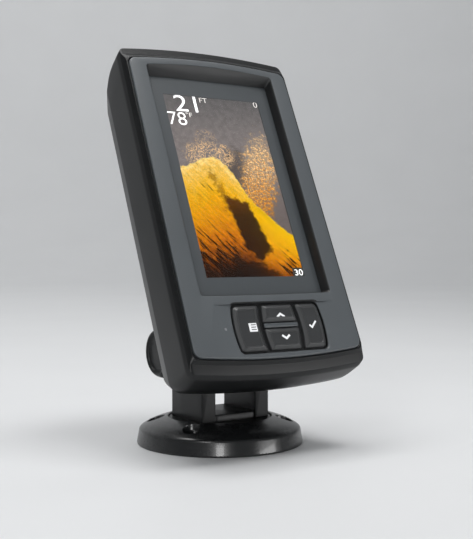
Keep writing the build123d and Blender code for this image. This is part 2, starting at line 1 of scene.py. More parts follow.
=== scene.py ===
"""Looks of the compact fish finder: modelled shells, procedural materials, light and camera.

Head pieces are drawn in millimetres on the face of the screen: x across, y up, z out towards the user,
with the picture's centre as origin. Mount pieces are drawn in millimetres in the frame's own axes.
"""

import json
import math

import bmesh
import bpy
from mathutils import Matrix, Vector


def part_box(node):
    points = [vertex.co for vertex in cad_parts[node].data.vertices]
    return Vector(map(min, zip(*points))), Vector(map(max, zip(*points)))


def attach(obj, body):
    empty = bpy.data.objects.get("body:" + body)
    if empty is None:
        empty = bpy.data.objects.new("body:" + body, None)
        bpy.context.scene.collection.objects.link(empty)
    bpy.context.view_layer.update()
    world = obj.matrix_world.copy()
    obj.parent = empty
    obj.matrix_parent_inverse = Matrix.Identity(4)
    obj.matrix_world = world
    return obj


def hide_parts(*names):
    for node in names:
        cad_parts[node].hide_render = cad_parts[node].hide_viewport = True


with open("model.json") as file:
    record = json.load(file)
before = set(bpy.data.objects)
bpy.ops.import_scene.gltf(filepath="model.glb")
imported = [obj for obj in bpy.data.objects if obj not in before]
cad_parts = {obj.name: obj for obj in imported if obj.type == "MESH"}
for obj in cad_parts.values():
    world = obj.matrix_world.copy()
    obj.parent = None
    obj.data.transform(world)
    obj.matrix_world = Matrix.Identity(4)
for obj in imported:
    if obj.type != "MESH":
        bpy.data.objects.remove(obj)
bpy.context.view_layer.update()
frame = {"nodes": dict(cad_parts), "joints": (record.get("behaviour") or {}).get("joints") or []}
scene = bpy.context.scene

# ---- Places read from the frame ----

MM = 0.001
PANEL_MIDDLE_LEVEL = -1.5
X_AXIS = Vector((1, 0, 0))
Z_AXIS = Vector((0, 0, 1))
WORLD = Matrix.Identity(4)
joints = {joint["name"]: joint for joint in frame["joints"]}


def box_mm(node):
    """Lowest and highest corner of a CAD node, in millimetres."""
    low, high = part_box(node)
    return low / MM, high / MM


def middle(node):
    """Centre of a CAD node's box, in millimetres."""
    low, high = box_mm(node)
    return (low + high) / 2


def head_matrix():
    """Turns the head's own coordinates into the frame's, both in millimetres."""
    axes = (X_AXIS, HEAD_OUT.cross(X_AXIS), HEAD_OUT)
    picture_centre = middle("lcd_panel") - HEAD_OUT * PANEL_MIDDLE_LEVEL
    return Matrix.Translation(picture_centre) @ Matrix(axes).transposed().to_4x4()


HEAD_OUT = -Vector(joints["press_menu"]["axis"]).normalized()
HEAD = head_matrix()
HEAD_INVERSE = HEAD.inverted()
PIVOT = Vector(joints["tilt"]["pos_m"]) / MM


def on_face(point):
    """A point of the frame, in millimetres, in the head's own coordinates."""
    return HEAD_INVERSE @ Vector(point)


# ---- Sizes of the head, in millimetres ----

PICTURE_WIDTH = 53.86
PICTURE_HEIGHT = 95.04
WINDOW_HALF = 34.33
WINDOW_TOP = 57.02
BEZEL_HALF = 44.93
BEZEL_TOP = 65.82
BEZEL_BOTTOM = -88.42
BEZEL_ARCH = 2.8
BEZEL_FLARE = 0.4
# Levels count along z, from the picture's plane
BEZEL_LEVEL = 6.0
PLATE_LEVEL = 3.8
GLASS_LEVEL = 1.0
BACK_LEVEL = -25.8
# Centre and half sizes of the group of keys, then the keys' edges from that centre
KEYS_X = 2.2
KEYS_Y = -74.02
KEYS_HALF_WIDTH = 23.0
KEYS_HALF_HEIGHT = 10.7
KEY_BULGE = 1.2
MENU_RIGHT = -9.4
CENTRE_LEFT = -7.4
CENTRE_RIGHT = 9.0
ENTER_LEFT = 11.0
UP_BOTTOM = 2.5
DOWN_TOP = -0.5

# ---- Mesh helpers ----

# A corner's cut never takes more than this share of a side
MOST_OF_SIDE = 0.48
MOST_OF_EDGE = 0.49
# Steps along a panel's arched ends, its straight sides and its corners
END_STEPS = 28
SIDE_STEPS = 14
CORNER_STEPS = 9
CORNER_PULL = 0.56


def placed(name, data):
    """New object that shows a mesh, a curve, a light or a camera."""
    made = bpy.data.objects.new(name, data)
    scene.collection.objects.link(made)
    return made


def shaded(mesh, sharp=35):
    """Shades a mesh smooth, but for edges sharper than an angle in degrees."""
    mesh.shade_smooth()
    mesh.set_sharp_from_angle(angle=math.radians(sharp))
    return mesh


def make_object(name, vertices, faces, transform=WORLD, sharp=35):
    """Mesh object from points in millimetres, placed by a transform."""
    mesh = bpy.data.meshes.new(name)
    mesh.from_pydata([(transform @ Vector(point)) * MM for point in vertices], [], faces)
    cleaned = bmesh.new()
    cleaned.from_mesh(mesh)
    bmesh.ops.remove_doubles(cleaned, verts=cleaned.verts, dist=1e-7)
    bmesh.ops.recalc_face_normals(cleaned, faces=cleaned.faces)
    cleaned.to_mesh(mesh)
    cleaned.free()
    return placed(name, shaded(mesh, sharp))


def rounded(enter, corner, leave, steps):
    """Points along a rounded corner, with both its ends."""
    points = []
    for step in range(steps + 1):
        share = step / steps
        points.append(enter * (1 - share) ** 2 + corner * 2 * share * (1 - share) + leave * share**2)
    return points


def softened(points, steps=5):
    """Path through (point, radius) pairs with each corner rounded. Works in any dimension."""
    path = []
    for index, (point, radius) in enumerate(points):
        here = Vector(point)
        if radius <= 0 or index in (0, len(points) - 1):
            path.append(here)
            continue
        before = Vector(points[index - 1][0]) - here
        after = Vector(points[index + 1][0]) - here
        enter = here + before * min(radius / before.length, MOST_OF_SIDE)
        leave = here + after * min(radius / after.length, MOST_OF_SIDE)
        path += rounded(enter, here, leave, steps)
    return path


def loft_faces(ring_count, size, loop):
    """Faces that join rings of equal size, as a tube with caps or as a closed loop of rings."""
    faces = []
    for ring in range(ring_count if loop else ring_count - 1):
        here = ring * size
        following = (ring + 1) % ring_count * size
        for index in range(size):
            other = (index + 1) % size
            faces.append((here + index, here + other, following + other, following + index))
    if not loop:
        faces.append(tuple(reversed(range(size))))
        faces.append(tuple((ring_count - 1) * size + index for index in range(size)))
    return faces


def loft(name, rings, transform=WORLD, loop=False, sharp=35):
    """Object lofted through rings of points."""
    vertices = [point for ring in rings for point in ring]
    return make_object(name, vertices, loft_faces(len(rings), len(rings[0]), loop), transform, sharp)


def lathe(name, profile, centre=(0, 0, 0), axis=Z_AXIS, segments=96, loop=False, sharp=35):
    """Solid turned about an axis from (radius, height) pairs, with flat ends or as a closed ring."""
    turn = Vector(axis).normalized().to_track_quat("Z", "Y").to_matrix().to_4x4()
    angles = [math.tau * index / segments for index in range(segments)]
    rings = []
    for radius, height in profile:
        rings.append([(radius * math.cos(angle), radius * math.sin(angle), height) for angle in angles])
    return loft(name, rings, Matrix.Translation(centre) @ turn, loop, sharp)


def polygon_ring(corners, radii, level, steps=8, side_steps=6):
    """Ring of points round a polygon with rounded corners."""
    count = len(corners)
    radii = radii if hasattr(radii, "__len__") else [radii] * count
    ring = []
    for index, radius in enumerate(radii):
        here = Vector(corners[index])
        following = Vector(corners[(index + 1) % count])
        before = Vector(corners[index - 1]) - here
        after = following - here
        cut = min(radius, MOST_OF_EDGE * before.length, MOST_OF_EDGE * after.length)
        leave = here + after.normalized() * cut
        ring += rounded(here + before.normalized() * cut, here, leave, steps)
        target = following - after.normalized() * min(radius, MOST_OF_EDGE * after.length)
        ring += [leave.lerp(target, step / side_steps) for step in range(1, side_steps)]
    return [(point.x, point.y, level) for point in ring]


def bowed_run(start, end, bow, cut, steps):
    """Points along a side that bows out upwards, with a length cut off at both ends."""
    trim = cut / (end - start).length
    run = []
    for step in range(steps + 1):
        share = trim + (1 - 2 * trim) * step / steps
        point = start.lerp(end, share)
        point.y += bow * 4 * share * (1 - share)
        run.append(point)
    return run


def corner_run(enter, apex, leave):
    """Points between the two ends of a panel's corner."""
    first_handle = enter.lerp(apex, CORNER_PULL)
    second_handle = leave.lerp(apex, CORNER_PULL)
    run = []
    for step in range(1, CORNER_STEPS):
        share = step / CORNER_STEPS
        rest = 1 - share
        point = enter * rest**3 + first_handle * 3 * rest**2 * share
        run.append(point + second_handle * 3 * rest * share**2 + leave * share**3)
    return run


def panel_ring(half, top, bottom, crown, sag, corner, level, flare=0.0):
    """Ring round an upright panel with straight sides, arched ends and rounded corners."""
    apexes = (
        Vector((-half - flare, bottom + sag)),
        Vector((half + flare, bottom + sag)),
        Vector((half - flare, top - crown)),
        Vector((flare - half, top - crown)),
    )
    sides = ((-sag, END_STEPS), (0, SIDE_STEPS), (crown, END_STEPS), (0, SIDE_STEPS))
    runs = []
    for index, (bow, steps) in enumerate(sides):
        runs.append(bowed_run(apexes[index], apexes[(index + 1) % 4], bow, corner, steps))
    ring = []
    for index, run in enumerate(runs):
        following = (index + 1) % 4
        ring += run + corner_run(run[-1], apexes[following], runs[following][0])
    return [(point.x, point.y, level) for point in ring]


def bezel_ring(level, sides, top=None, bottom=None, corner=3.6):
    """Ring at a level, grown past the bezel's outline at the sides, the top and the chin."""
    top = BEZEL_TOP + (sides if top is None else top)
    bottom = BEZEL_BOTTOM - (sides if bottom is None else bottom)
    return panel_ring(BEZEL_HALF + sides, top, bottom, BEZEL_ARCH, BEZEL_ARCH, corner, level, BEZEL_FLARE)


def boolean(piece, cutter, operation="DIFFERENCE"):
    """Applies a cutter to a piece and removes the cutter."""
    modifier = piece.modifiers.new("cut", "BOOLEAN")
    modifier.object = cutter
    modifier.operation = operation
    modifier.solver = "EXACT"
    bpy.context.view_layer.update()
    mesh = bpy.data.meshes.new_from_object(piece.evaluated_get(bpy.context.evaluated_depsgraph_get()))
    piece.modifiers.clear()
    piece.data = shaded(mesh)
    bpy.data.objects.remove(cutter)
    return piece


def join(name, pieces):
    """Joins several objects into one mesh object."""
    joined = bmesh.new()
    for piece in pieces:
        joined.from_mesh(piece.data)
        bpy.data.objects.remove(piece)
    mesh = bpy.data.meshes.new(name)
    joined.to_mesh(mesh)
    joined.free()
    return placed(name, shaded(mesh))


def stroke(name, points, width, level, height):
    """Flat raised line of even width through points on the head's face."""
    left, right = [], []
    path = [Vector(point) for point in points]
    for index, point in enumerate(path):
        before = (point - path[index - 1]).normalized() if index else None
        after = (path[index + 1] - point).normalized() if index < len(path) - 1 else None
        before = before or after
        after = after or before
        tangent = (before + after).normalized()
        normal = Vector((-tangent.y, tangent.x))
        reach = width / 2 / max(0.3, normal.dot(Vector((-after.y, after.x))))
        left.append(point + normal * reach)
        right.append(point - normal * reach)
    outline = left + right[::-1]
    rings = [[(p.x, p.y, at_level) for p in outline] for at_level in (level, level + height)]
    return loft(name, rings, HEAD)


def inset_ring(ring, amount, level):
    """Ring moved inwards by an even amount, at a new level."""
    count = len(ring)
    moved = []
    for index, point in enumerate(ring):
        before = Vector(ring[index - 1][:2])
        after = Vector(ring[(index + 1) % count][:2])
        tangent = (after - before).normalized()
        moved.append((point[0] - tangent.y * amount, point[1] + tangent.x * amount, level))
    return moved


def plate(name, corners, radii, low, high, transform=HEAD, edge=0.0):
    """Flat plate with rounded corners, and with its top edge softened if asked."""
    rings = [polygon_ring(corners, radii, low), polygon_ring(corners, radii, high - edge)]
    if edge:
        rings.append(inset_ring(rings[-1], edge * 0.3, high - edge * 0.3))
        rings.append(inset_ring(rings[-1], edge * 0.7, high))
    return loft(name, rings, transform)


def rectangle(centre_x, centre_y, width, height):
    """Corners of a rectangle, anticlockwise."""
    left, right = centre_x - width / 2, centre_x + width / 2
    bottom, top = centre_y - height / 2, centre_y + height / 2
    return (left, bottom), (right, bottom), (right, top), (left, top)


# ---- Materials ----


def srgb(red, green, blue):
    """Display colour, 0 to 255, as the linear colour that shaders use."""
    linear = []
    for value in (red, green, blue):
        share = value / 255
        linear.append(share / 12.92 if share <= 0.04045 else ((share + 0.055) / 1.055) ** 2.4)
    return (*linear, 1.0)


def scaled(colour, factor):
    """A colour made darker or lighter."""
    return tuple(channel * factor for channel in colour[:3]) + (1.0,)


class Shader:
    """A material with short calls for the nodes used here."""

    def __init__(self, name):
        self.material = bpy.data.materials.new(name)
        self.material.use_nodes = True
        self.tree = self.material.node_tree
        self.surface = self.tree.nodes["Principled BSDF"]

    def node(self, kind, **settings):
        """New node with its properties set."""
        made = self.tree.nodes.new(kind)
        for key, value in settings.items():
            setattr(made, key, value)
        return made

    def feed(self, socket, value):
        """Links a socket to another, or sets its value."""
        if isinstance(value, bpy.types.NodeSocket):
            self.tree.links.new(value, socket)
        else:
            socket.default_value = value

    def finish(self, inputs):
        """Feeds the surface's inputs by name, and gives the material."""
        for name, value in inputs.items():
            self.feed(self.surface.inputs[name], value)
        return self.material

    def maths(self, operation, first, second=0.0, third=0.0):
        """One arithmetic step."""
        made = self.node("ShaderNodeMath", operation=operation)
        for socket, value in zip(made.inputs, (first, second, third)):
            self.feed(socket, value)
        return made.outputs[0]

    def times(self, first, second):
        """Product of two values."""
        return self.maths("MULTIPLY", first, second)

    def line(self, value, factor, offset):
        """A value times a factor, plus an offset."""
        return self.maths("MULTIPLY_ADD", value, factor, offset)

    def between(self, value, low, high, to_low=0.0, to_high=1.0, kind="SMOOTHSTEP"):
        """Maps a value from one range to another, with smooth ends."""
        made = self.node("ShaderNodeMapRange", interpolation_type=kind)
        for socket, number in zip(made.inputs, (value, low, high, to_low, to_high)):
            self.feed(socket, number)
        return made.outputs[0]

    def mix(self, share, first, second, blend="MIX"):
        """Mixes two colours."""
        made = self.node("ShaderNodeMix", data_type="RGBA", blend_type=blend)
        for index, value in ((0, share), (6, first), (7, second)):
            self.feed(made.inputs[index], value)
        return made.outputs[2]

    def shade(self, colour, value):
        """A colour multiplied by a grey value."""
        grey = self.node("ShaderNodeCombineXYZ")
        for socket in grey.inputs:
            self.feed(socket, value)
        return self.mix(1.0, colour, grey.outputs[0], "MULTIPLY")

    def ramp(self, value, stops):
        """Colour ramp from (place, red, green, blue) stops."""
        made = self.node("ShaderNodeValToRGB")
        elements = made.color_ramp.elements
        while len(elements) < len(stops):
            elements.new(0.5)
        for element, (place, *colour) in zip(elements, stops):
            element.position = place
            element.color = srgb(*colour)
        self.feed(made.inputs[0], value)
        return made.outputs[0]

    def coordinates(self, kind="Object", scale=(1, 1, 1), turn=(0, 0, 0)):
        """Texture coordinates through a mapping."""
        mapping = self.node("ShaderNodeMapping")
        self.feed(mapping.inputs["Vector"], self.node("ShaderNodeTexCoord").outputs[kind])
        self.feed(mapping.inputs["Scale"], scale)
        self.feed(mapping.inputs["Rotation"], turn)
        return mapping.outputs[0]

    def noise(self, vector, scale, detail=2.0, roughness=0.5, distortion=0.0):
        """Noise value from 0 to 1."""
        made = self.node("ShaderNodeTexNoise")
        names = ("Vector", "Scale", "Detail", "Roughness", "Distortion")
        for name, value in zip(names, (vector, scale, detail, roughness, distortion)):
            self.feed(made.inputs[name], value)
        return made.outputs[0]

    def bump(self, height, strength, distance):
        """Bump on the surface's normal."""
        made = self.node("ShaderNodeBump")
        for name, value in (("Height", height), ("Strength", strength), ("Distance", distance)):
            self.feed(made.inputs[name], value)
        self.feed(self.surface.inputs["Normal"], made.outputs[0])


def moulded(name, colour, roughness, grain=0.25, grain_size=0.35, mottling=0.12, coat=0.0, gloss=0.5):
    """Moulded plastic or rubber with a fine spark-eroded grain, slight mottling and handling marks."""
    shader = Shader(name)
    place = shader.coordinates()
    fine = shader.noise(place, 1 / (grain_size * MM), 3, 0.6)
    broad = shader.noise(place, 45, 4, 0.55)
    lighter = scaled(colour, 1 + mottling)
    mottled = shader.mix(broad, scaled(colour, 1 - mottling), lighter)
    worn = shader.line(broad, 0.1, roughness - 0.07)
    shader.bump(fine, grain, 0.05 * MM)
    return shader.finish(
        {
            "Base Color": shader.mix(shader.between(fine, 0.35, 0.7), mottled, lighter),
            "Roughness": shader.line(fine, 0.05, worn),
            "Specular IOR Level": gloss,
            "Coat Weight": coat,
            "Coat Roughness": 0.06,
        }
    )


def metal(name, colour, roughness, brushed=(1, 1, 1)):
    """Bare metal with fine drawn scratches."""
    shader = Shader(name)
    lines = shader.noise(shader.coordinates(scale=brushed), 900, 4, 0.7)
    shader.bump(lines, 0.15, 0.03 * MM)
    return shader.finish(
        {
            "Base Color": shader.mix(lines, scaled(colour, 0.75), colour),
            "Metallic": 1.0,
            "Roughness": shader.line(lines, 0.2, roughness),
        }
    )


def print_border():
    """Slate ink printed under the window, seen through clear gloss."""
    shader = Shader("border_ink")
    place = shader.coordinates()
    shader.bump(shader.noise(place, 900, 2), 0.03, 0.02 * MM)
    return shader.finish(
        {
            "Base Color": shader.mix(shader.noise(place, 25, 3), srgb(64, 68, 71), srgb(70, 74, 77)),
            "Roughness": 0.35,
            "Coat Weight": 1.0,
            "Coat Roughness": 0.08,
        }
    )


def clear_window():
    """Clear acrylic over the picture, with faint smears."""
    shader = Shader("clear_window")
    smears = shader.noise(shader.coordinates(), 60, 4)
    return shader.finish(
        {
            "Base Color": (1, 1, 1, 1),
            "Transmission Weight": 1.0,
            "IOR": 1.14,
            "Roughness": shader.times(smears, 0.1),
        }
    )


def glowing(name, colour, strength):
    """Lit mark on the picture."""
    shader = Shader(name)
    speck = shader.noise(shader.coordinates(), 4000, 2)
    return shader.finish(
        {
            "Emission Color": shader.mix(speck, scaled(colour, 0.9), colour),
            "Base Color": colour,
            "Emission Strength": strength,
        }
    )


def pale_floor():
    """Pale matt floor."""
    shader = Shader("floor_pale")
    mottle = shader.noise(shader.coordinates(), 6, 3)
    colour = shader.mix(mottle, srgb(214, 215, 216), srgb(220, 221, 222))
    return shader.finish({"Base Color": colour, "Roughness": 0.55})


# Colour, roughness, grain, grain size in millimetres, mottling, coat and gloss
PLASTICS = {
    "housing_black": ((15, 16, 17), 0.33, 0.12, 0.3, 0.12, 0.0, 0.3),
    # Black plastic for the window's slope and the keys' pocket: painted shade in these recesses
    "collar_black": ((20, 21, 22), 0.42, 0.2, 0.3),
    "bezel_grey": ((78, 82, 85), 0.42, 0.22, 0.3, 0.05),
    "key_charcoal": ((48, 49, 50), 0.4, 0.2, 0.25),
    "mount_black": ((22, 23, 24), 0.27, 0.08, 0.4, 0.1, 0.15),
    "arm_black": ((14, 15, 16), 0.36, 0.12, 0.3, 0.12, 0.0, 0.25),
    "seal_rubber": ((26, 26, 26), 0.7, 0.4, 0.2),
    "washer_rubber": ((30, 30, 30), 0.75, 0.4, 0.2),
    "pad_foam": ((38, 38, 39), 0.9, 0.9, 0.6),
    "nylon_white": ((215, 214, 208), 0.45, 0.1, 0.3),
    "socket_black": ((28, 28, 29), 0.32, 0.15, 0.3),
    "board_green": ((20, 92, 48), 0.35, 0.2, 0.8, 0.2),
    "chip_black": ((30, 30, 32), 0.55, 0.3, 0.2),
    "header_cream": ((226, 222, 208), 0.5, 0.1, 0.3),
    "mat_silicone": ((120, 121, 124), 0.65, 0.2, 0.3),
    "symbol_white": ((238, 239, 240), 0.45, 0.1, 0.2, 0.02),
    "foam_grey": ((92, 92, 94), 0.9, 0.8, 0.5),
}
# Colour, roughness and stretch of the scratches
METALS = {
    "coil_copper": ((190, 110, 62), 0.3, (1, 1, 12)),
    "can_metal": ((186, 188, 192), 0.25),
    "tray_metal": ((180, 182, 186), 0.3, (1, 6, 6)),
    "screw_steel": ((176, 178, 182), 0.22),
    "pin_gold": ((226, 186, 96), 0.2),
    "insert_brass": ((205, 168, 92), 0.28),
}
# Colour and strength
LIT_MARKS = {
    "digit_white": ((248, 248, 248), 1.0),
    "mark_grey": ((214, 210, 206), 0.9),
    "shade_black": ((40, 36, 34), 0.6),
}
MATERIALS = {}
for kind, table in ((moulded, PLASTICS), (metal, METALS), (glowing, LIT_MARKS)):
    for name, (colour, *values) in table.items():
        MATERIALS[name] = kind(name, srgb(*colour), *values)

# ---- Sonar picture ----

# Places on the picture are shares of its width and height, from its lower left corner
BOTTOM_OUTLINE = (
    (0, 0.59),
    (0.14, 0.615),
    (0.27, 0.65),
    (0.4, 0.645),
    (0.52, 0.57),
    (0.63, 0.44),
    (0.77, 0.345),
    (1, 0.225),
)
# Corners of the crack in the hump and of the dark shadow below it, in millimetres from that corner
CRACK_CORNERS = ((14.6, 54.5), (16.2, 54.5), (23.2, 38.0), (21.0, 34.0))
SHADOW_CORNERS = ((20.6, 41.5), (32.4, 37.5), (39.2, 14.0), (32.0, 8.0), (26.0, 15.0))
# Ramps of (place, red, green, blue), by height over the picture or by depth under the bottom's line
WATER_COLOURS = ((0.35, 128, 120, 118), (0.6, 146, 139, 137), (0.8, 140, 135, 134), (1.0, 118, 116, 116))
CLOUD_COLOURS = ((0.3, 214, 140, 40), (0.48, 226, 166, 84), (0.66, 238, 196, 142), (0.8, 196, 172, 150))
HUMP_COLOURS = (
    (0.0, 246, 222, 160),
    (0.09, 238, 204, 126),
    (0.26, 232, 190, 82),
    (0.5, 224, 168, 54),
    (0.68, 202, 134, 38),
    (0.84, 138, 84, 26),
    (1.0, 66, 40, 20),
)
RIDGE_COLOURS = (
    (0.0, 232, 196, 92),
    (0.12, 236, 196, 34),
    (0.5, 230, 178, 14),
    (0.75, 214, 148, 20),
    (1.0, 160, 96, 24),
)
STREAK_SLANT = 48
STREAK_SCALE = (0.09, 0.75, 1)


class PictureShader(Shader):
    """Shader of the lit picture: knows the place on it, and has a coarse and a fine noise."""

    def __init__(self, name):
        super().__init__(name)
        parts = self.node("ShaderNodeSeparateXYZ")
        self.feed(parts.inputs[0], self.node("ShaderNodeTexCoord").outputs["UV"])
        self.across, self.up = parts.outputs[0], parts.outputs[1]
        self.place = self.in_millimetres()
        self.ragged = self.noise(self.place, 0.36, 7, 0.62)
        self.fine = self.noise(self.place, 1.3, 3, 0.75)

    def in_millimetres(self, degrees=0):
        """Place on the picture in millimetres, turned by an angle."""
        scale = (PICTURE_WIDTH, PICTURE_HEIGHT, 1)
        return self.coordinates("UV", scale, (0, 0, math.radians(degrees)))

    def cover(self, below, share, strength, colour):
        """Covers a colour with another, by a share of some strength."""
        return self.mix(self.times(share, strength), below, srgb(*colour))

    def inside_polygon(self, corners, wobble, softness):
        """1 inside a convex polygon and 0 outside, with a ragged edge, in millimetres."""
        x = self.times(self.across, PICTURE_WIDTH)
        y = self.times(self.up, PICTURE_HEIGHT)
        nearest = None
        for index, corner in enumerate(corners):
            following = corners[(index + 1) % len(corners)]
            run = (Vector(following) - Vector(corner)).normalized()
            part = self.times(self.maths("SUBTRACT", y, corner[1]), -run.x)
            distance = self.line(self.maths("SUBTRACT", x, corner[0]), run.y, part)
            nearest = distance if nearest is None else self.maths("MINIMUM", nearest, distance)
        frayed = self.line(self.ragged, wobble, self.maths("ADD", nearest, -wobble / 2))
        return self.between(frayed, -softness, softness / 2)

    def oval(self, centre, degrees, long_half, short_half, fraying, full):
        """1 inside a slanted oval and 0 outside, with a frayed edge."""
        cosine, sine = math.cos(math.radians(degrees)), -math.sin(math.radians(degrees))
        x = self.times(self.maths("SUBTRACT", self.across, centre[0]), PICTURE_WIDTH / PICTURE_HEIGHT)
        y = self.maths("SUBTRACT", self.up, centre[1])
        along = self.maths("ADD", self.times(x, cosine), self.times(y, sine))
        beside = self.maths("SUBTRACT", self.times(y, cosine), self.times(x, sine))
        parts = []
        for run, half, power in ((along, long_half, 2.4), (beside, short_half, 2.0)):
            share = self.maths("ABSOLUTE", self.maths("DIVIDE", run, half))
            parts.append(self.maths("POWER", share, power))
        distance = self.maths("ADD", *parts)
        frayed = self.line(self.ragged, 2 * fraying, self.maths("ADD", distance, -fraying))
        return self.between(frayed, full, 1.15, 1.0, 0.0)


def water_colour(shader):
    """Hazy grey water with a darker patch beside the hump."""
    water = shader.ramp(shader.up, WATER_COLOURS)
    water = shader.shade(water, shader.between(shader.ragged, 0.35, 0.65, 0.88, 1.1, "LINEAR"))
    patch = shader.oval((0.57, 0.58), 100, 0.16, 0.09, 0.8, 0.0)
    return shader.cover(water, patch, 0.6, (84, 76, 72))


def loose_echoes(shader, water):
    """Pale threads over the top of the hump."""
    swirls = shader.noise(shader.place, 0.42, 3, 0.6, 1.6)
    off_middle = shader.maths("ABSOLUTE", shader.maths("SUBTRACT", swirls, 0.5))
    threads = shader.between(off_middle, 0.055, 0.012)
    near = shader.oval((0.34, 0.665), 0, 0.16, 0.085, 0.8, 0.4)
    high = shader.oval((0.33, 0.76), 0, 0.07, 0.055, 0.6, 0.4)
    area = shader.maths("MAXIMUM", near, shader.times(high, 0.4))
    return shader.cover(water, area, threads, (236, 206, 168))


def fish_cloud(shader, water):
    """Tall leaning cloud of bright specks on the right."""
    area = shader.oval((0.79, 0.53), 109, 0.3, 0.115, 1.6, 0.25)
    colour = shader.ramp(shader.up, CLOUD_COLOURS)
    height = shader.between(shader.up, 0.35, 0.6)
    brightest = shader.mix(height, srgb(255, 202, 104), srgb(255, 232, 190))
    bright = shader.between(shader.noise(shader.place, 1.2, 2, 0.9), 0.5, 0.57)
    colour = shader.mix(bright, colour, brightest)
    holes = shader.between(shader.noise(shader.place, 0.9, 4, 0.8), 0.54, 0.62)
    colour = shader.cover(colour, holes, 0.8, (84, 60, 48))
    specks = shader.between(shader.noise(shader.place, 0.75, 5, 0.8), 0.45, 0.56)
    return shader.mix(shader.times(area, shader.line(specks, 0.76, 0.24)), water, colour)


def bottom_depth(shader):
    """Depth under the bottom's line, and that depth as a share of the line's height."""
    curve = shader.node("ShaderNodeFloatCurve")
    points = curve.mapping.curves[0].points
    while len(points) < len(BOTTOM_OUTLINE):
        points.new(0.5, 0.5)
    for point, location in zip(points, BOTTOM_OUTLINE):
        point.location = location
    curve.mapping.update()
    shader.feed(curve.inputs["Value"], shader.across)
    height = curve.outputs[0]
    lifted = shader.line(shader.ragged, 0.05, shader.maths("ADD", height, -0.033))
    lifted = shader.line(shader.fine, 0.016, lifted)
    depth = shader.maths("SUBTRACT", lifted, shader.up)
    return depth, shader.maths("DIVIDE", depth, height)


def dark_streaks(shader, bottom):
    """Slanting dark streaks in both lower corners, and faint seams all over."""
    stretched = shader.node("ShaderNodeVectorMath", operation="MULTIPLY")
    shader.feed(stretched.inputs[0], shader.in_millimetres(STREAK_SLANT))
    stretched.inputs[1].default_value = STREAK_SCALE
    lines = shader.noise(stretched.outputs[0], 1.0, 4, 0.6, 0.35)
    leftward = shader.between(shader.across, 0.75, 0.25)
    rightward = shader.between(shader.across, 0.72, 0.85)
    left_low = shader.times(leftward, shader.between(shader.up, 0.36, 0.06))
    right_low = shader.times(rightward, shader.between(shader.up, 0.2, 0.02, 0, 0.8))
    threshold = shader.line(shader.maths("MAXIMUM", left_low, right_low), -0.225, 0.66)
    streaks = shader.between(shader.maths("SUBTRACT", lines, threshold), 0.0, 0.06)
    bottom = shader.cover(bottom, streaks, 0.92, (48, 28, 16))
    return shader.shade(bottom, shader.between(lines, 0.3, 0.72, 1.12, 0.84, "LINEAR"))


def golden_bottom(shader, share):
    """Golden bottom: pale on top of the hump, brighter on the ridge, orange and dark lower down."""
    uneven = shader.line(shader.ragged, 0.36, shader.maths("ADD", share, -0.18))
    on_ridge = shader.between(shader.across, 0.5, 0.68)
    bottom = shader.mix(on_ridge, shader.ramp(uneven, HUMP_COLOURS), shader.ramp(uneven, RIDGE_COLOURS))
    bottom = dark_streaks(shader, bottom)
    return shader.shade(bottom, shader.between(shader.fine, 0.3, 0.7, 0.8, 1.14, "LINEAR"))


def dark_marks(shader, bottom):
    """Shadow behind the hump, the crack that leads to it and the dark hollow at the lower edge."""
    colour = shader.mix(shader.between(shader.up, 0.3, 0.42), srgb(28, 18, 12), srgb(92, 58, 28))
    colour = shader.mix(shader.between(shader.fine, 0.5, 0.66), colour, srgb(96, 58, 24))
    shadow = shader.inside_polygon(SHADOW_CORNERS, 5.5, 1.4)
    bottom = shader.mix(shader.times(shadow, 0.93), bottom, colour)
    crack = shader.inside_polygon(CRACK_CORNERS, 12.0, 1.6)
    bottom = shader.cover(bottom, crack, 0.4, (96, 56, 20))
    hollow = shader.oval((0.48, 0.0), 4, 0.17, 0.085, 1.4, 0.4)
    return shader.cover(bottom, hollow, 0.85, (40, 24, 12))


def sonar_picture():
    """Lit sonar picture: water on top, a golden hump of the bottom, its shadow and a cloud of fish."""
    shader = PictureShader("sonar_picture")
    water = fish_cloud(shader, loose_echoes(shader, water_colour(shader)))
    depth, share = bottom_depth(shader)
    bottom = dark_marks(shader, golden_bottom(shader, share))
    vivid = shader.node("ShaderNodeHueSaturation")
    vivid.inputs["Saturation"].default_value = 1.08
    shader.feed(vivid.inputs["Color"], shader.mix(shader.between(depth, -0.004, 0.008), water, bottom))
    deep = shader.node("ShaderNodeGamma")
    deep.inputs["Gamma"].default_value = 1.32
    shader.feed(deep.inputs["Color"], vivid.outputs[0])
    return shader.finish(
        {
            "Base Color": (0.004, 0.004, 0.004, 1),
            "Roughness": 0.5,
            "Specular IOR Level": 0.1,
            "Emission Color": deep.outputs[0],
            "Emission Strength": 1.16,
        }
    )


# ---- Finish of a piece ----


def paint(piece, material):
    """Gives a piece one material."""
    piece.data.materials.clear()
    piece.data.materials.append(material)


def finished(piece, body, material, slot, *nodes):
    """Paints a piece with a material or its name, lets it ride a body and replaces CAD nodes."""
    paint(piece, MATERIALS.get(material, material))
    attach(piece, body)
    if nodes:
        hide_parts(*nodes)
    return piece


# ---- Rear housing ----

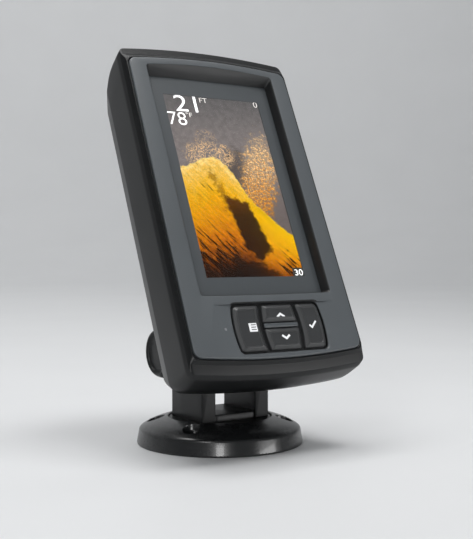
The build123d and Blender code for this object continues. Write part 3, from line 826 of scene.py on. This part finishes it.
# Wall from the pocket's floor over the rim and round to the back: level, then growth past the bezel's
# outline at the sides, the top and the chin, with the corners' cut, and the radius that softens the wall
HOUSING_WALL = (
    ((-3.0, 0.25, 0.25, 0.25, 3.6), 0),
    ((5.05, 0.25, 0.25, 0.25, 3.6), 0.12),
    ((5.25, 0.45, 0.45, 0.45, 3.4), 0.1),
    ((5.2, 0.95, 0.95, 0.95, 3.0), 0.15),
    ((3.45, 1.8, 3.1, 2.15, 0.8), 0.2),
    ((2.45, 2.25, 6.75, 6.3, 2.6), 0.45),
    ((0.0, 2.75, 6.65, 7.75, 4.2), 1.0),
    ((-11.0, 2.2, 5.15, 9.55, 5.0), 6.0),
    ((-17.3, 1.8, -0.4, 8.2, 5.0), 0.7),
    ((-25.2, -0.65, -7.5, 3.7, 5.0), 0.6),
    ((-25.8, -1.5, -8.6, 2.9, 4.6), 0),
)
CAVITY_WALL = (
    (-23.4, -3.4, -9.8, 1.0),
    (-17.0, -0.8, -2.6, 5.6),
    (-4.5, 0.3, 3.2, 5.6),
    (-4.5, -3.2, -3.2, -3.2),
    (-3.0, -3.2, -3.2, -3.2),
)
CAVITY_CORNER = 3.4
WALL = 2.4
LUG_RADIUS = 12.0
LUG_ROOT = 18.0
LUG_EDGE = 0.7
SEAT_RADIUS = 4.98
SEAT_DEPTH = 9.0
SOCKET_HOLE_RADIUS = 7.6
SCREW_X = BEZEL_HALF - 6.6
SCREW_HEIGHTS = (BEZEL_TOP - 13.8, -12.0, BEZEL_BOTTOM + 10.4)
SCREW_SPOTS = [(across, height) for across in (-SCREW_X, SCREW_X) for height in SCREW_HEIGHTS]
# Recess and head of a case screw: radius, level past the back, radius that softens the corner
RECESS_PROFILE = ((2.8, 1.9, 0), (2.8, 0.4, 0.3), (4.2, -1.0, 0))
SCREW_PROFILE = ((0.001, 1.8, 0), (2.6, 1.8, 0), (2.6, 0.85, 0.25), (1.7, 0.6, 0.3), (0.001, 0.55, 0))
SCREW_SLOT = (2.9, 0.62)
SCREW_SLOT_DEPTH = 1.35


def lug_ring(half_width, radius, centre):
    """Ring round the lug's side profile: round at the pivot, wide at the housing's back."""
    ring = []
    for step in range(25):
        angle = math.pi + math.pi * step / 24
        ring.append((centre.y + radius * math.cos(angle), centre.z + radius * math.sin(angle)))
    root = BACK_LEVEL + WALL / 2
    ring += [(centre.y + LUG_ROOT, root), (centre.y - LUG_ROOT, root)]
    return [(half_width, height, level) for height, level in ring]


def add_lug(housing):
    """Pivot lug on the housing's back, with a seat at each end for the insert."""
    low, high = box_mm("pivot_inserts")
    half = (high.x - low.x) / 2
    stations = ((-half, LUG_EDGE), (-half + LUG_EDGE, 0), (half - LUG_EDGE, 0), (half, LUG_EDGE))
    rings = [lug_ring(across, LUG_RADIUS - soft, on_face(PIVOT)) for across, soft in stations]
    boolean(housing, loft("lug", rings, HEAD), "UNION")
    for side in (-1, 1):
        profile = ((SEAT_RADIUS, -SEAT_DEPTH), (SEAT_RADIUS, 2.0))
        boolean(housing, lathe("seat", profile, PIVOT + X_AXIS * side * half, X_AXIS * side, 48))


def from_back(profile):
    """Profile of (radius, level) from one whose levels count from the housing's back."""
    return softened([((radius, BACK_LEVEL + level), soft) for radius, level, soft in profile])


def make_housing():
    """Black rear housing: hollow shell with lug, screw recesses and socket holes."""
    rings = [bezel_ring(*station, CAVITY_CORNER) for station in CAVITY_WALL]
    rings += [bezel_ring(*station) for station in softened(HOUSING_WALL)]
    housing = loft("housing_shell", rings, HEAD, sharp=22)
    add_lug(housing)
    for across, height in SCREW_SPOTS:
        spot = HEAD @ Vector((across, height, 0))
        boolean(housing, lathe("recess", from_back(RECESS_PROFILE), spot, HEAD_OUT, 32))
    for node in ("power_socket", "transducer_socket"):
        point = on_face(middle(node))
        profile = ((SOCKET_HOLE_RADIUS, BACK_LEVEL - 2), (SOCKET_HOLE_RADIUS, BACK_LEVEL + 4))
        boolean(housing, lathe("hole", profile, HEAD @ Vector((point.x, point.y, 0)), HEAD_OUT, 64))
    finished(housing, "head", "housing_black", "housing_black", "rear_housing")


def make_case_screw(across, height, degrees):
    """Sunk pan-head screw with a cross recess."""
    place = HEAD @ Matrix.Translation((across, height, 0))
    head = lathe("case_screw", from_back(SCREW_PROFILE), place.translation, HEAD_OUT, 40)
    for angle in (degrees, degrees + 90):
        turned = place @ Matrix.Rotation(math.radians(angle), 4, "Z")
        shape = rectangle(0, 0, *SCREW_SLOT)
        boolean(head, plate("slot", shape, 0.25, BACK_LEVEL, BACK_LEVEL + SCREW_SLOT_DEPTH, turned))
    return head


make_housing()
case_screws = [make_case_screw(*spot, 17 + 31 * index) for index, spot in enumerate(SCREW_SPOTS)]
finished(join("case_screw_heads", case_screws), "head", "screw_steel", "screw_steel", "case_screws")

# ---- Front bezel ----

WINDOW_SLOPE = 1.4
WINDOW_TOP_SLOPE = 5.1
SEAL_LEVEL = GLASS_LEVEL + 0.2
SKIRT_LEVEL = -1.8
SKIRT_WALL = 1.6
SEAL_POCKET = 2.6
POCKET_DEPTH = 1.95
KEY_GAP = 0.25
# Shallow dish round the keys: deepest under its upper edge, fading out to the sides and the chin
DISH_DEPTH = 0.75
DISH_TOP = KEYS_Y + KEYS_HALF_HEIGHT + 0.7
DISH_HALF = 33.0
DISH_HEIGHT = 25.0
DISH_COLUMNS = 44
DISH_ROWS = 20
# Edges of each key, left, right, bottom and top, and how far its left and right edges bulge out
KEYS = {
    "menu": (-KEYS_HALF_WIDTH, MENU_RIGHT, -KEYS_HALF_HEIGHT, KEYS_HALF_HEIGHT, KEY_BULGE, -KEY_BULGE),
    "up": (CENTRE_LEFT, CENTRE_RIGHT, UP_BOTTOM, KEYS_HALF_HEIGHT, KEY_BULGE, KEY_BULGE),
    "down": (CENTRE_LEFT, CENTRE_RIGHT, -KEYS_HALF_HEIGHT, DOWN_TOP, KEY_BULGE, KEY_BULGE),
    "enter": (ENTER_LEFT, KEYS_HALF_WIDTH, -KEYS_HALF_HEIGHT, KEYS_HALF_HEIGHT, -KEY_BULGE, KEY_BULGE),
}
ALL_KEYS = (-KEYS_HALF_WIDTH, KEYS_HALF_WIDTH, -KEYS_HALF_HEIGHT, KEYS_HALF_HEIGHT, KEY_BULGE, KEY_BULGE)


def window_ring(level, share, growth=0.0):
    """Ring round the window: share 0 at the glass and 1 at the bezel's face."""
    side = WINDOW_SLOPE * share + growth
    top = WINDOW_TOP + WINDOW_TOP_SLOPE * share + growth
    corner = 0.6 + 0.9 * share + growth * 0.5
    return panel_ring(WINDOW_HALF + side, top, -WINDOW_TOP - side, 0.3 + 1.9 * share, 0.3, corner, level)


def bezel_shell():
    """Bezel as a closed loop of rings: skirt, rounded rim, face, window slope, seal pocket and back."""
    rings = [bezel_ring(SKIRT_LEVEL, 0)]
    for level, growth in ((5.3, 0), (5.62, -0.06), (5.85, -0.22), (5.97, -0.45), (BEZEL_LEVEL, -0.75)):
        rings.append(bezel_ring(level, growth))
    rings += [
        window_ring(BEZEL_LEVEL, 1.0, 0.5),
        window_ring(BEZEL_LEVEL - 0.06, 1.0, 0.2),
        window_ring(BEZEL_LEVEL - 0.3, 0.97),
        window_ring(4.4, 0.62),
        window_ring(2.8, 0.26),
        window_ring(SEAL_LEVEL, 0.0),
        window_ring(SEAL_LEVEL, 0.0, SEAL_POCKET),
        window_ring(PLATE_LEVEL, 0.0, SEAL_POCKET),
        bezel_ring(PLATE_LEVEL, -SKIRT_WALL),
        bezel_ring(SKIRT_LEVEL, -SKIRT_WALL),
    ]
    return loft("front_bezel_shell", rings, HEAD, loop=True, sharp=24)


def bulged(start, end, edge, bulge, steps=5):
    """Points along a key's curved side, from one height to another, past the keys' centre."""
    points = []
    for step in range(steps + 1):
        height = start + (end - start) * step / steps
        across = edge + bulge * (1 - (height / KEYS_HALF_HEIGHT) ** 2)
        points.append((KEYS_X + across, KEYS_Y + height))
    return points


def key_ring(shape, level, growth=0.0):
    """Ring round a key's shape at a level, grown or shrunk, with wider corners at the group's ends."""
    left, right, bottom, top, left_bulge, right_bulge = shape
    low, high = bottom - growth, top + growth
    right_side = bulged(low, high, right, right_bulge)
    left_side = bulged(high, low, left, -left_bulge)
    corners = [(x + growth, y) for x, y in right_side] + [(x - growth, y) for x, y in left_side]
    inner_corner = max(0.4, 1.1 + 0.35 * growth)
    end_corner = max(0.9, 3.0 + 0.8 * growth)
    radii = []
    for at_end in (right == KEYS_HALF_WIDTH, left == -KEYS_HALF_WIDTH):
        corner = end_corner if at_end else inner_corner
        radii += [corner, 0.4, 0.4, 0.4, 0.4, corner]
    return polygon_ring(corners, radii, level, 6, 2)


def dish_point(row, column):
    """Point of the dish's floor, with its depth fading out to the sides and downwards."""
    across = 2 * column / DISH_COLUMNS - 1
    x = KEYS_X + (DISH_HALF + 1.5) * across
    y = DISH_TOP - (DISH_HEIGHT + 2.0) * row / DISH_ROWS
    beside = (x - KEYS_X) / DISH_HALF
    down = max(0.0, (DISH_TOP - y) / DISH_HEIGHT)
    depth = DISH_DEPTH * (1 - beside**4) * (1 - down**1.5) - 0.02
    return x, y, BEZEL_LEVEL - depth


def dish_cutter():
    """Closed block whose lower side is the dish's floor."""
    wide = DISH_COLUMNS + 1
    points = [dish_point(row, column) for row in range(DISH_ROWS + 1) for column in range(wide)]
    count = len(points)
    points += [(x, y, BEZEL_LEVEL + 2) for x, y, _ in points]
    faces = []
    for row in range(DISH_ROWS):
        for column in range(DISH_COLUMNS):
            a = row * wide + column
            faces.append((a, a + 1, a + wide + 1, a + wide))
            b = a + count
            faces.append((b, b + wide, b + wide + 1, b + 1))
    border = list(range(wide))
    border += [row * wide + DISH_COLUMNS for row in range(1, DISH_ROWS + 1)]
    border += [DISH_ROWS * wide + column for column in reversed(range(DISH_COLUMNS))]
    border += [row * wide for row in reversed(range(1, DISH_ROWS))]
    for index, a in enumerate(border):
        b = border[(index + 1) % len(border)]
        faces.append((a, a + count, b + count, b))
    return make_object("dish", points, faces, HEAD)


def cut_key_openings(bezel):
    """Sunk pocket round all four keys, and an opening for each."""
    stations = ((-POCKET_DEPTH, 0.85), (-1.2, 0.85), (-0.7, 0.98), (0.6, 2.3))
    rings = [key_ring(ALL_KEYS, BEZEL_LEVEL + rise, growth) for rise, growth in stations]
    boolean(bezel, loft("pocket", rings, HEAD))
    for shape in KEYS.values():
        levels = (PLATE_LEVEL - 1, BEZEL_LEVEL)
        boolean(bezel, loft("opening", [key_ring(shape, level, KEY_GAP) for level in levels], HEAD))


def middle_bar():
    """Bar between the up and down keys."""
    centre = (KEYS_X + (CENTRE_LEFT + CENTRE_RIGHT) / 2, KEYS_Y + (UP_BOTTOM + DOWN_TOP) / 2)
    shape = rectangle(*centre, 18.6, UP_BOTTOM - DOWN_TOP - 0.9)
    return plate("middle_bar", shape, 0.4, PLATE_LEVEL + 0.2, BEZEL_LEVEL - 0.35, edge=0.5)


def paint_recess_shade(bezel):
    """Second, black material on the window's slope and on the keys' pocket: painted shade in these
    recesses.
    """
    bezel.data.materials.append(MATERIALS["collar_black"])
    for polygon in bezel.data.polygons:
        spot = on_face(polygon.center / MM)
        in_window = abs(spot.x) < WINDOW_HALF + 2 and abs(spot.y) < WINDOW_TOP + 6
        beside, above = abs(spot.x - KEYS_X), abs(spot.y - KEYS_Y)
        near_keys = beside < KEYS_HALF_WIDTH + 4 and above < KEYS_HALF_HEIGHT + 2
        on_slope = in_window and SEAL_LEVEL - 0.1 < spot.z < BEZEL_LEVEL - 0.1
        if on_slope or (near_keys and spot.z < BEZEL_LEVEL - POCKET_DEPTH + 1.1):
            polygon.material_index = 1


def make_bezel():
    """Slate grey bezel with its dish, key openings, bar and light pipe hole."""
    bezel = bezel_shell()
    boolean(bezel, dish_cutter())
    cut_key_openings(bezel)
    boolean(bezel, middle_bar(), "UNION")
    status = on_face(middle("light_pipe"))
    spot = HEAD @ Vector((status.x, status.y, 0))
    boolean(bezel, lathe("pipe_hole", ((0.66, 2), (0.66, 5.5), (0.9, 7)), spot, HEAD_OUT, 24))
    finished(bezel, "head", "bezel_grey", "bezel_grey", "front_bezel")
    # Painted shade: the window's slope and the keys' pocket get the black material
    paint_recess_shade(bezel)


make_bezel()

# ---- Window, picture and its numbers ----

GLASS_BACK = GLASS_LEVEL - 1.5
GLASS_MARGIN = 1.4
PICTURE_LEVEL = GLASS_LEVEL - 0.4
OPENING = rectangle(0, 0, PICTURE_WIDTH + 0.7, PICTURE_HEIGHT + 0.3)
OPENING_CORNER = 0.3
# Name, text, left, bottom, height, width, material and how far the outline is drawn in
NUMBERS = (
    ("digits_depth", "21", -21.8, 39.0, 8.8, 12.4, "digit_white", -0.004),
    ("digits_temperature", "78", -27.1, 31.2, 7.0, 9.8, "digit_white", -0.01),
    ("unit_depth", "FT", -7.2, 44.8, 2.6, 4.3, "mark_grey", -0.012),
    ("unit_temperature", "°F", -16.9, 35.9, 2.6, 3.4, "mark_grey", -0.01),
    ("scale_top", "0", 24.6, 44.8, 3.2, 2.3, "mark_grey", -0.01),
    ("scale_bottom", "30", 22.3, -47.2, 3.1, 4.7, "digit_white", 0.0),
)
NUMBER_GAP = 0.02
NUMBER_HEIGHT = 0.06


def make_window():
    """Window: a printed border round the picture's opening, and a clear pane in the opening."""
    outer = rectangle(0, 0, 2 * (WINDOW_HALF + GLASS_MARGIN), 2 * (WINDOW_TOP + GLASS_MARGIN))
    rings = [polygon_ring(outer, 1.2, level) for level in (GLASS_BACK, GLASS_LEVEL)]
    rings += [polygon_ring(OPENING, OPENING_CORNER, level) for level in (GLASS_LEVEL, GLASS_BACK)]
    border = loft("window_border", rings, HEAD, loop=True)
    finished(border, "head", print_border(), "lens_clear", "display_lens")
    pane = plate("window_pane", OPENING, OPENING_CORNER, GLASS_LEVEL - 0.25, GLASS_LEVEL)
    finished(pane, "head", clear_window(), "lens_clear", "display_lens")


def make_picture():
    """Lit picture behind the pane, with its place on the picture as UV."""
    picture = plate("lit_picture", OPENING, OPENING_CORNER, GLASS_BACK, PICTURE_LEVEL)
    layer = picture.data.uv_layers.new(name="picture")
    for loop in picture.data.loops:
        spot = on_face(picture.data.vertices[loop.vertex_index].co / MM)
        layer.data[loop.index].uv = (spot.x / PICTURE_WIDTH + 0.5, spot.y / PICTURE_HEIGHT + 0.5)
    finished(picture, "head", sonar_picture(), "screen")


def letter_shape(name, text, weight):
    """Flat outline of a text as a bmesh."""
    curve = bpy.data.curves.new(name, "FONT")
    curve.body = text
    curve.size = 1.0
    curve.offset = weight
    letter = placed(name, curve)
    bpy.context.view_layer.update()
    outline = bpy.data.meshes.new_from_object(letter.evaluated_get(bpy.context.evaluated_depsgraph_get()))
    bpy.data.objects.remove(letter)
    shape = bmesh.new()
    shape.from_mesh(outline)
    return shape


def make_number(name, text, left, bottom, height, width, material, weight):
    """Raised number on the picture, with its lower left corner, height and width given."""
    shape = letter_shape(name, text, weight)
    low = Vector([min(v.co[i] for v in shape.verts) for i in range(3)])
    high = Vector([max(v.co[i] for v in shape.verts) for i in range(3)])
    for vertex in shape.verts:
        vertex.co.x = left + (vertex.co.x - low.x) / (high.x - low.x) * width
        vertex.co.y = bottom + (vertex.co.y - low.y) / (high.y - low.y) * height
        vertex.co.z = PICTURE_LEVEL + NUMBER_GAP
    extruded = bmesh.ops.extrude_face_region(shape, geom=shape.faces[:])
    for element in extruded["geom"]:
        if isinstance(element, bmesh.types.BMVert):
            element.co.z += NUMBER_HEIGHT
    bmesh.ops.recalc_face_normals(shape, faces=shape.faces)
    bmesh.ops.transform(shape, matrix=Matrix.Scale(MM, 4) @ HEAD, verts=shape.verts)
    mesh = bpy.data.meshes.new(name)
    shape.to_mesh(mesh)
    shape.free()
    finished(placed(name, mesh), "head", material, "screen")


make_window()
make_picture()
for row in NUMBERS:
    make_number(*row)
patch_shape = rectangle(24.3, -45.4, 6.2, 4.4)
scale_patch = plate("scale_patch", patch_shape, 0.4, PICTURE_LEVEL, PICTURE_LEVEL + 0.01)
finished(scale_patch, "head", "shade_black", "screen")

# ---- Keys and their symbols ----

KEY_TOP = 6.4
# Level and growth past the outline, from the plate up to the key's face, and the softening radius
KEY_PROFILE = (
    ((PLATE_LEVEL - 1.0, 0.5), 0),
    ((PLATE_LEVEL - 0.1, 0.5), 0),
    ((PLATE_LEVEL - 0.1, 0.0), 0),
    ((KEY_TOP - 1.4, 0.0), 0.3),
    ((KEY_TOP - 0.9, -0.3), 0.4),
    ((KEY_TOP - 0.02, -1.7), 0.3),
    ((KEY_TOP - 0.02, -2.0), 0.08),
    ((KEY_TOP - 0.36, -2.25), 0.06),
    ((KEY_TOP - 0.36, -2.7), 0),
)
SYMBOL_LEVEL = KEY_TOP - 0.4
SYMBOL_HEIGHT = 0.12
# Name, key, points on the face and line width of each drawn symbol
STROKES = (
    ("chevron_up", "key_up", ((1.4, -69.5), (3.5, -68.0), (5.6, -69.5)), 1.0),
    ("chevron_down", "key_down", ((1.5, -78.2), (3.6, -79.7), (5.7, -78.2)), 1.0),
    ("tick", "key_enter", ((18.2, -73.9), (19.4, -75.1), (22.3, -72.2)), 0.9),
)


def make_key(name, shape):
    """Key cap with a wide sloped border round a flat, slightly sunk face."""
    rings = [key_ring(shape, level, growth) for level, growth in softened(KEY_PROFILE, 4)]
    cap = loft(f"key_cap_{name}", rings, HEAD, sharp=40)
    finished(cap, f"key_{name}", "key_charcoal", "key_charcoal", f"key_{name}")


def make_page_symbol():
    """White page with three dark lines, on the menu key."""
    top = SYMBOL_LEVEL + SYMBOL_HEIGHT
    page = plate("page", rectangle(-12.9, -73.8, 4.2, 4.0), 0.3, SYMBOL_LEVEL, top)
    finished(page, "key_menu", "symbol_white", "key_charcoal")
    for row in range(3):
        shape = rectangle(-12.6, -72.6 - 1.1 * row, 2.6, 0.36)
        line = plate(f"page_line_{row}", shape, 0.1, top - 0.02, top + 0.03)
        finished(line, "key_menu", "key_charcoal", "key_charcoal")


for name, shape in KEYS.items():
    make_key(name, shape)
make_page_symbol()
for name, body, points, width in STROKES:
    symbol = stroke(name, points, width, SYMBOL_LEVEL, SYMBOL_HEIGHT)
    finished(symbol, body, "symbol_white", "key_charcoal")

# ---- Knobs ----


def make_knob(side, direction):
    """Round knob: neck, smooth grip, rounded rim and a dished face."""
    low, high = box_mm(f"knob_{side}")
    length = high.x - low.x
    radius = (high.z - low.z) / 2
    start = high.x if direction < 0 else low.x
    profile = softened(
        (
            ((0.001, 0.0), 0),
            ((8.8, 0.0), 0.3),
            ((9.0, 3.0), 0.3),
            ((radius - 1.0, 3.0), 0.5),
            ((radius - 0.15, 4.6), 1.2),
            ((radius, length - 4.0), 2.5),
            ((radius - 1.6, length - 0.2), 2.2),
            ((9.4, length), 0.8),
            ((8.4, length - 1.5), 1.0),
            ((0.001, length - 1.1), 0),
        ),
        7,
    )
    knob = lathe(f"knob_cap_{side}", profile, (start, PIVOT.y, PIVOT.z), X_AXIS * direction, 144)
    finished(knob, f"knob_{side}", "housing_black", "housing_black", f"knob_{side}")


make_knob("left", -1)
make_knob("right", 1)

# ---- Mount ----

DECK_HOLES = ((-26.3, -17.2), (-26.3, 17.2), (26.3, -17.2), (26.3, 17.2))
COUNTERSINK = (((2.3, -1), 0), ((2.3, 7.6), 0.2), ((4.3, 9.6), 0.3), ((4.7, 14), 0))
TURNTABLE_TOP = 12.35
WEB_TOP = 15.55
ARM_INNER = 11.25
ARM_OUTER = 18.95
ARM_HALF = 14.1
ARM_EDGE = 0.5
TURNTABLE_PROFILE = (
    ((2.02, 4.4), 0),
    ((8.0, 4.4), 0),
    ((8.0, 8.35), 0),
    ((24.8, 8.35), 0),
    ((24.8, TURNTABLE_TOP - 0.2), 0.3),
    ((24.4, TURNTABLE_TOP), 0.3),
    ((2.02, TURNTABLE_TOP), 0),
)


def make_base():
    """Round base: flat rim, sloped top, raised middle and four countersunk holes."""
    low, high = box_mm("mounting_base")
    radius = (high.x - low.x) / 2
    profile = softened(
        (
            ((8.06, 1.5), 0),
            ((37.1, 1.5), 0),
            ((37.1, 0.0), 0),
            ((radius - 0.3, 0.0), 0.3),
            ((radius, 0.6), 0.4),
            ((39.15, 7.1), 0.7),
            ((38.4, 7.9), 0.7),
            ((34.3, 10.3), 2.5),
            ((29.2, 12.0), 2.0),
            ((25.6, 13.0), 0.4),
            ((25.2, 12.7), 0.3),
            ((25.2, 7.8), 0),
            ((8.06, 7.8), 0),
        ),
        6,
    )
    base = lathe("base_disc", profile, segments=180, loop=True, sharp=40)
    for x, y in DECK_HOLES:
        boolean(base, lathe("countersink", softened(COUNTERSINK), (x, y, 0), segments=40))
    finished(base, "base", "mount_black", "mount_black", "mounting_base")


def arm_ring(x, inset):
    """Ring round an arm's side profile, straight below and round on top."""
    half = ARM_HALF - inset
    ring = [(x, half, TURNTABLE_TOP - 1), (x, -half, TURNTABLE_TOP - 1)]
    for step in range(33):
        angle = math.pi - math.pi * step / 32
        ring.append((x, half * math.cos(angle), PIVOT.z + half * math.sin(angle)))
    return ring


def make_arm(side):
    """One arm of the bracket with softened edges and its pivot hole."""
    edges = ((0, ARM_EDGE), (ARM_EDGE * 0.3, 0.15), (ARM_EDGE, 0))
    rings = [arm_ring(side * (ARM_INNER + inward), inset) for inward, inset in edges]
    rings += [arm_ring(side * (ARM_OUTER - inward), inset) for inward, inset in reversed(edges)]
    bore = lathe("bore", ((3.2, -10), (3.2, 10)), (side * 15, PIVOT.y, PIVOT.z), X_AXIS, 40)
    return boolean(loft("arm", rings), bore)


def make_bracket():
    """Swivel bracket: turntable, two arms and the raised floor between them."""
    bracket = lathe("bracket_fork", softened(TURNTABLE_PROFILE), segments=144, loop=True)
    floor_shape = rectangle(0, 0, 2 * ARM_INNER + 1, 2 * ARM_HALF - 0.6)
    raised_floor = plate("raised_floor", floor_shape, 2.0, TURNTABLE_TOP - 1, WEB_TOP, WORLD, edge=0.6)
    for part in (make_arm(-1), make_arm(1), raised_floor):
        boolean(bracket, part, "UNION")
    finished(bracket, "bracket", "arm_black", "mount_black", "swivel_bracket")


make_base()
make_bracket()

# ---- Carried-over CAD nodes ----

CAD_FINISH = (
    ("seal_rubber", ("case_gasket", "lens_seal", "socket_seals")),
    ("header_cream", ("backlight", "socket_headers")),
    ("chip_black", ("lcd_panel", "processor", "board_chips", "buzzer")),
    ("tray_metal", ("display_tray", "key_switches")),
    ("foam_grey", ("display_foam",)),
    ("board_green", ("main_board",)),
    ("coil_copper", ("sonar_transformer",)),
    ("can_metal", ("capacitors",)),
    ("mat_silicone", ("keypad_mat", "light_pipe")),
    ("symbol_white", ("status_led",)),
    ("socket_black", ("power_socket", "transducer_socket", "socket_nuts")),
    ("pin_gold", ("power_pins", "transducer_pins")),
    ("insert_brass", ("pivot_inserts",)),
    ("washer_rubber", ("tilt_washers",)),
    ("screw_steel", ("knob_stud_left", "knob_stud_right", "retaining_washer", "swivel_screw")),
    ("nylon_white", ("knob_washer_left", "knob_washer_right", "swivel_washer")),
    ("pad_foam", ("base_pad",)),
)
for material, nodes in CAD_FINISH:
    for node in nodes:
        slots = frame["nodes"][node].data.materials
        for index in range(len(slots)):
            slots[index] = MATERIALS[material]

# ---- Floor, light and camera ----

CAMERA_PLACE = (-0.25926, -0.4071, 0.09404)
CAMERA_TURN = 33.45
CAMERA_DROP = 1.24
CAMERA_LENS = 66.34
WORLD_COLOUR = (0.9, 0.92, 0.94, 1)
WORLD_STRENGTH = 0.26
BOWL_PROFILE = (((0.001, 0.0), 0), ((3400, 0.0), 1500), ((3400, 3200), 0))
# Name, place, target, size and power of each light, in metres and watts
LIGHTS = (
    ("sheen_light", (0.12, -0.22, 0.9), (0, 0, 0.15), (0.4, 0.26), 3.6),
    ("top_light", (-0.25, 0.25, 1.5), (0, 0, 0.1), (0.9, 0.7), 9.5),
    ("left_light", (-1.2, -0.9, 0.9), (0, 0, 0.1), (0.3, 0.5), 4),
    ("front_light", (-0.66, -1.05, 0.13), (0, 0, 0.02), (0.22, 0.18), 2.6),
    ("chin_light", (0.62, -0.9, 0.05), (0, 0, 0.05), (0.5, 0.08), 2.1),
    ("backdrop_light", (0, 0.9, 2.4), (0, 3.4, 1.0), (3.0, 0.6), 40),
)


def make_floor():
    """Pale floor that curves up to a backdrop all round, without the lathe's caps."""
    floor = lathe("floor", softened(BOWL_PROFILE, 24), segments=128)
    shell = bmesh.new()
    shell.from_mesh(floor.data)
    caps = [face for face in shell.faces if len(face.verts) > 4]
    bmesh.ops.delete(shell, geom=caps, context="FACES_ONLY")
    bmesh.ops.reverse_faces(shell, faces=shell.faces)
    shell.to_mesh(floor.data)
    shell.free()
    paint(floor, pale_floor())


def make_world():
    """Even, faint light from all round."""
    world = bpy.data.worlds.new("studio")
    scene.world = world
    world.use_nodes = True
    background = world.node_tree.nodes["Background"]
    background.inputs["Color"].default_value = WORLD_COLOUR
    background.inputs["Strength"].default_value = WORLD_STRENGTH


def area_light(name, place, target, size, power):
    """Soft rectangular light aimed at a point."""
    data = bpy.data.lights.new(name, "AREA")
    data.shape = "RECTANGLE"
    data.size, data.size_y = size
    data.energy = power
    lamp = placed(name, data)
    lamp.location = place
    lamp.rotation_euler = (Vector(target) - Vector(place)).to_track_quat("-Z", "Y").to_euler()


def make_camera():
    """Camera at the photograph's viewing angle."""
    data = bpy.data.cameras.new("camera")
    data.lens = CAMERA_LENS
    data.sensor_width = 36
    camera = placed("camera", data)
    camera.location = CAMERA_PLACE
    camera.rotation_euler = (math.radians(90 - CAMERA_DROP), 0, -math.radians(CAMERA_TURN))
    scene.camera = camera


make_floor()
make_world()
for light in LIGHTS:
    area_light(*light)
make_camera()
scene.view_settings.view_transform = "Standard"
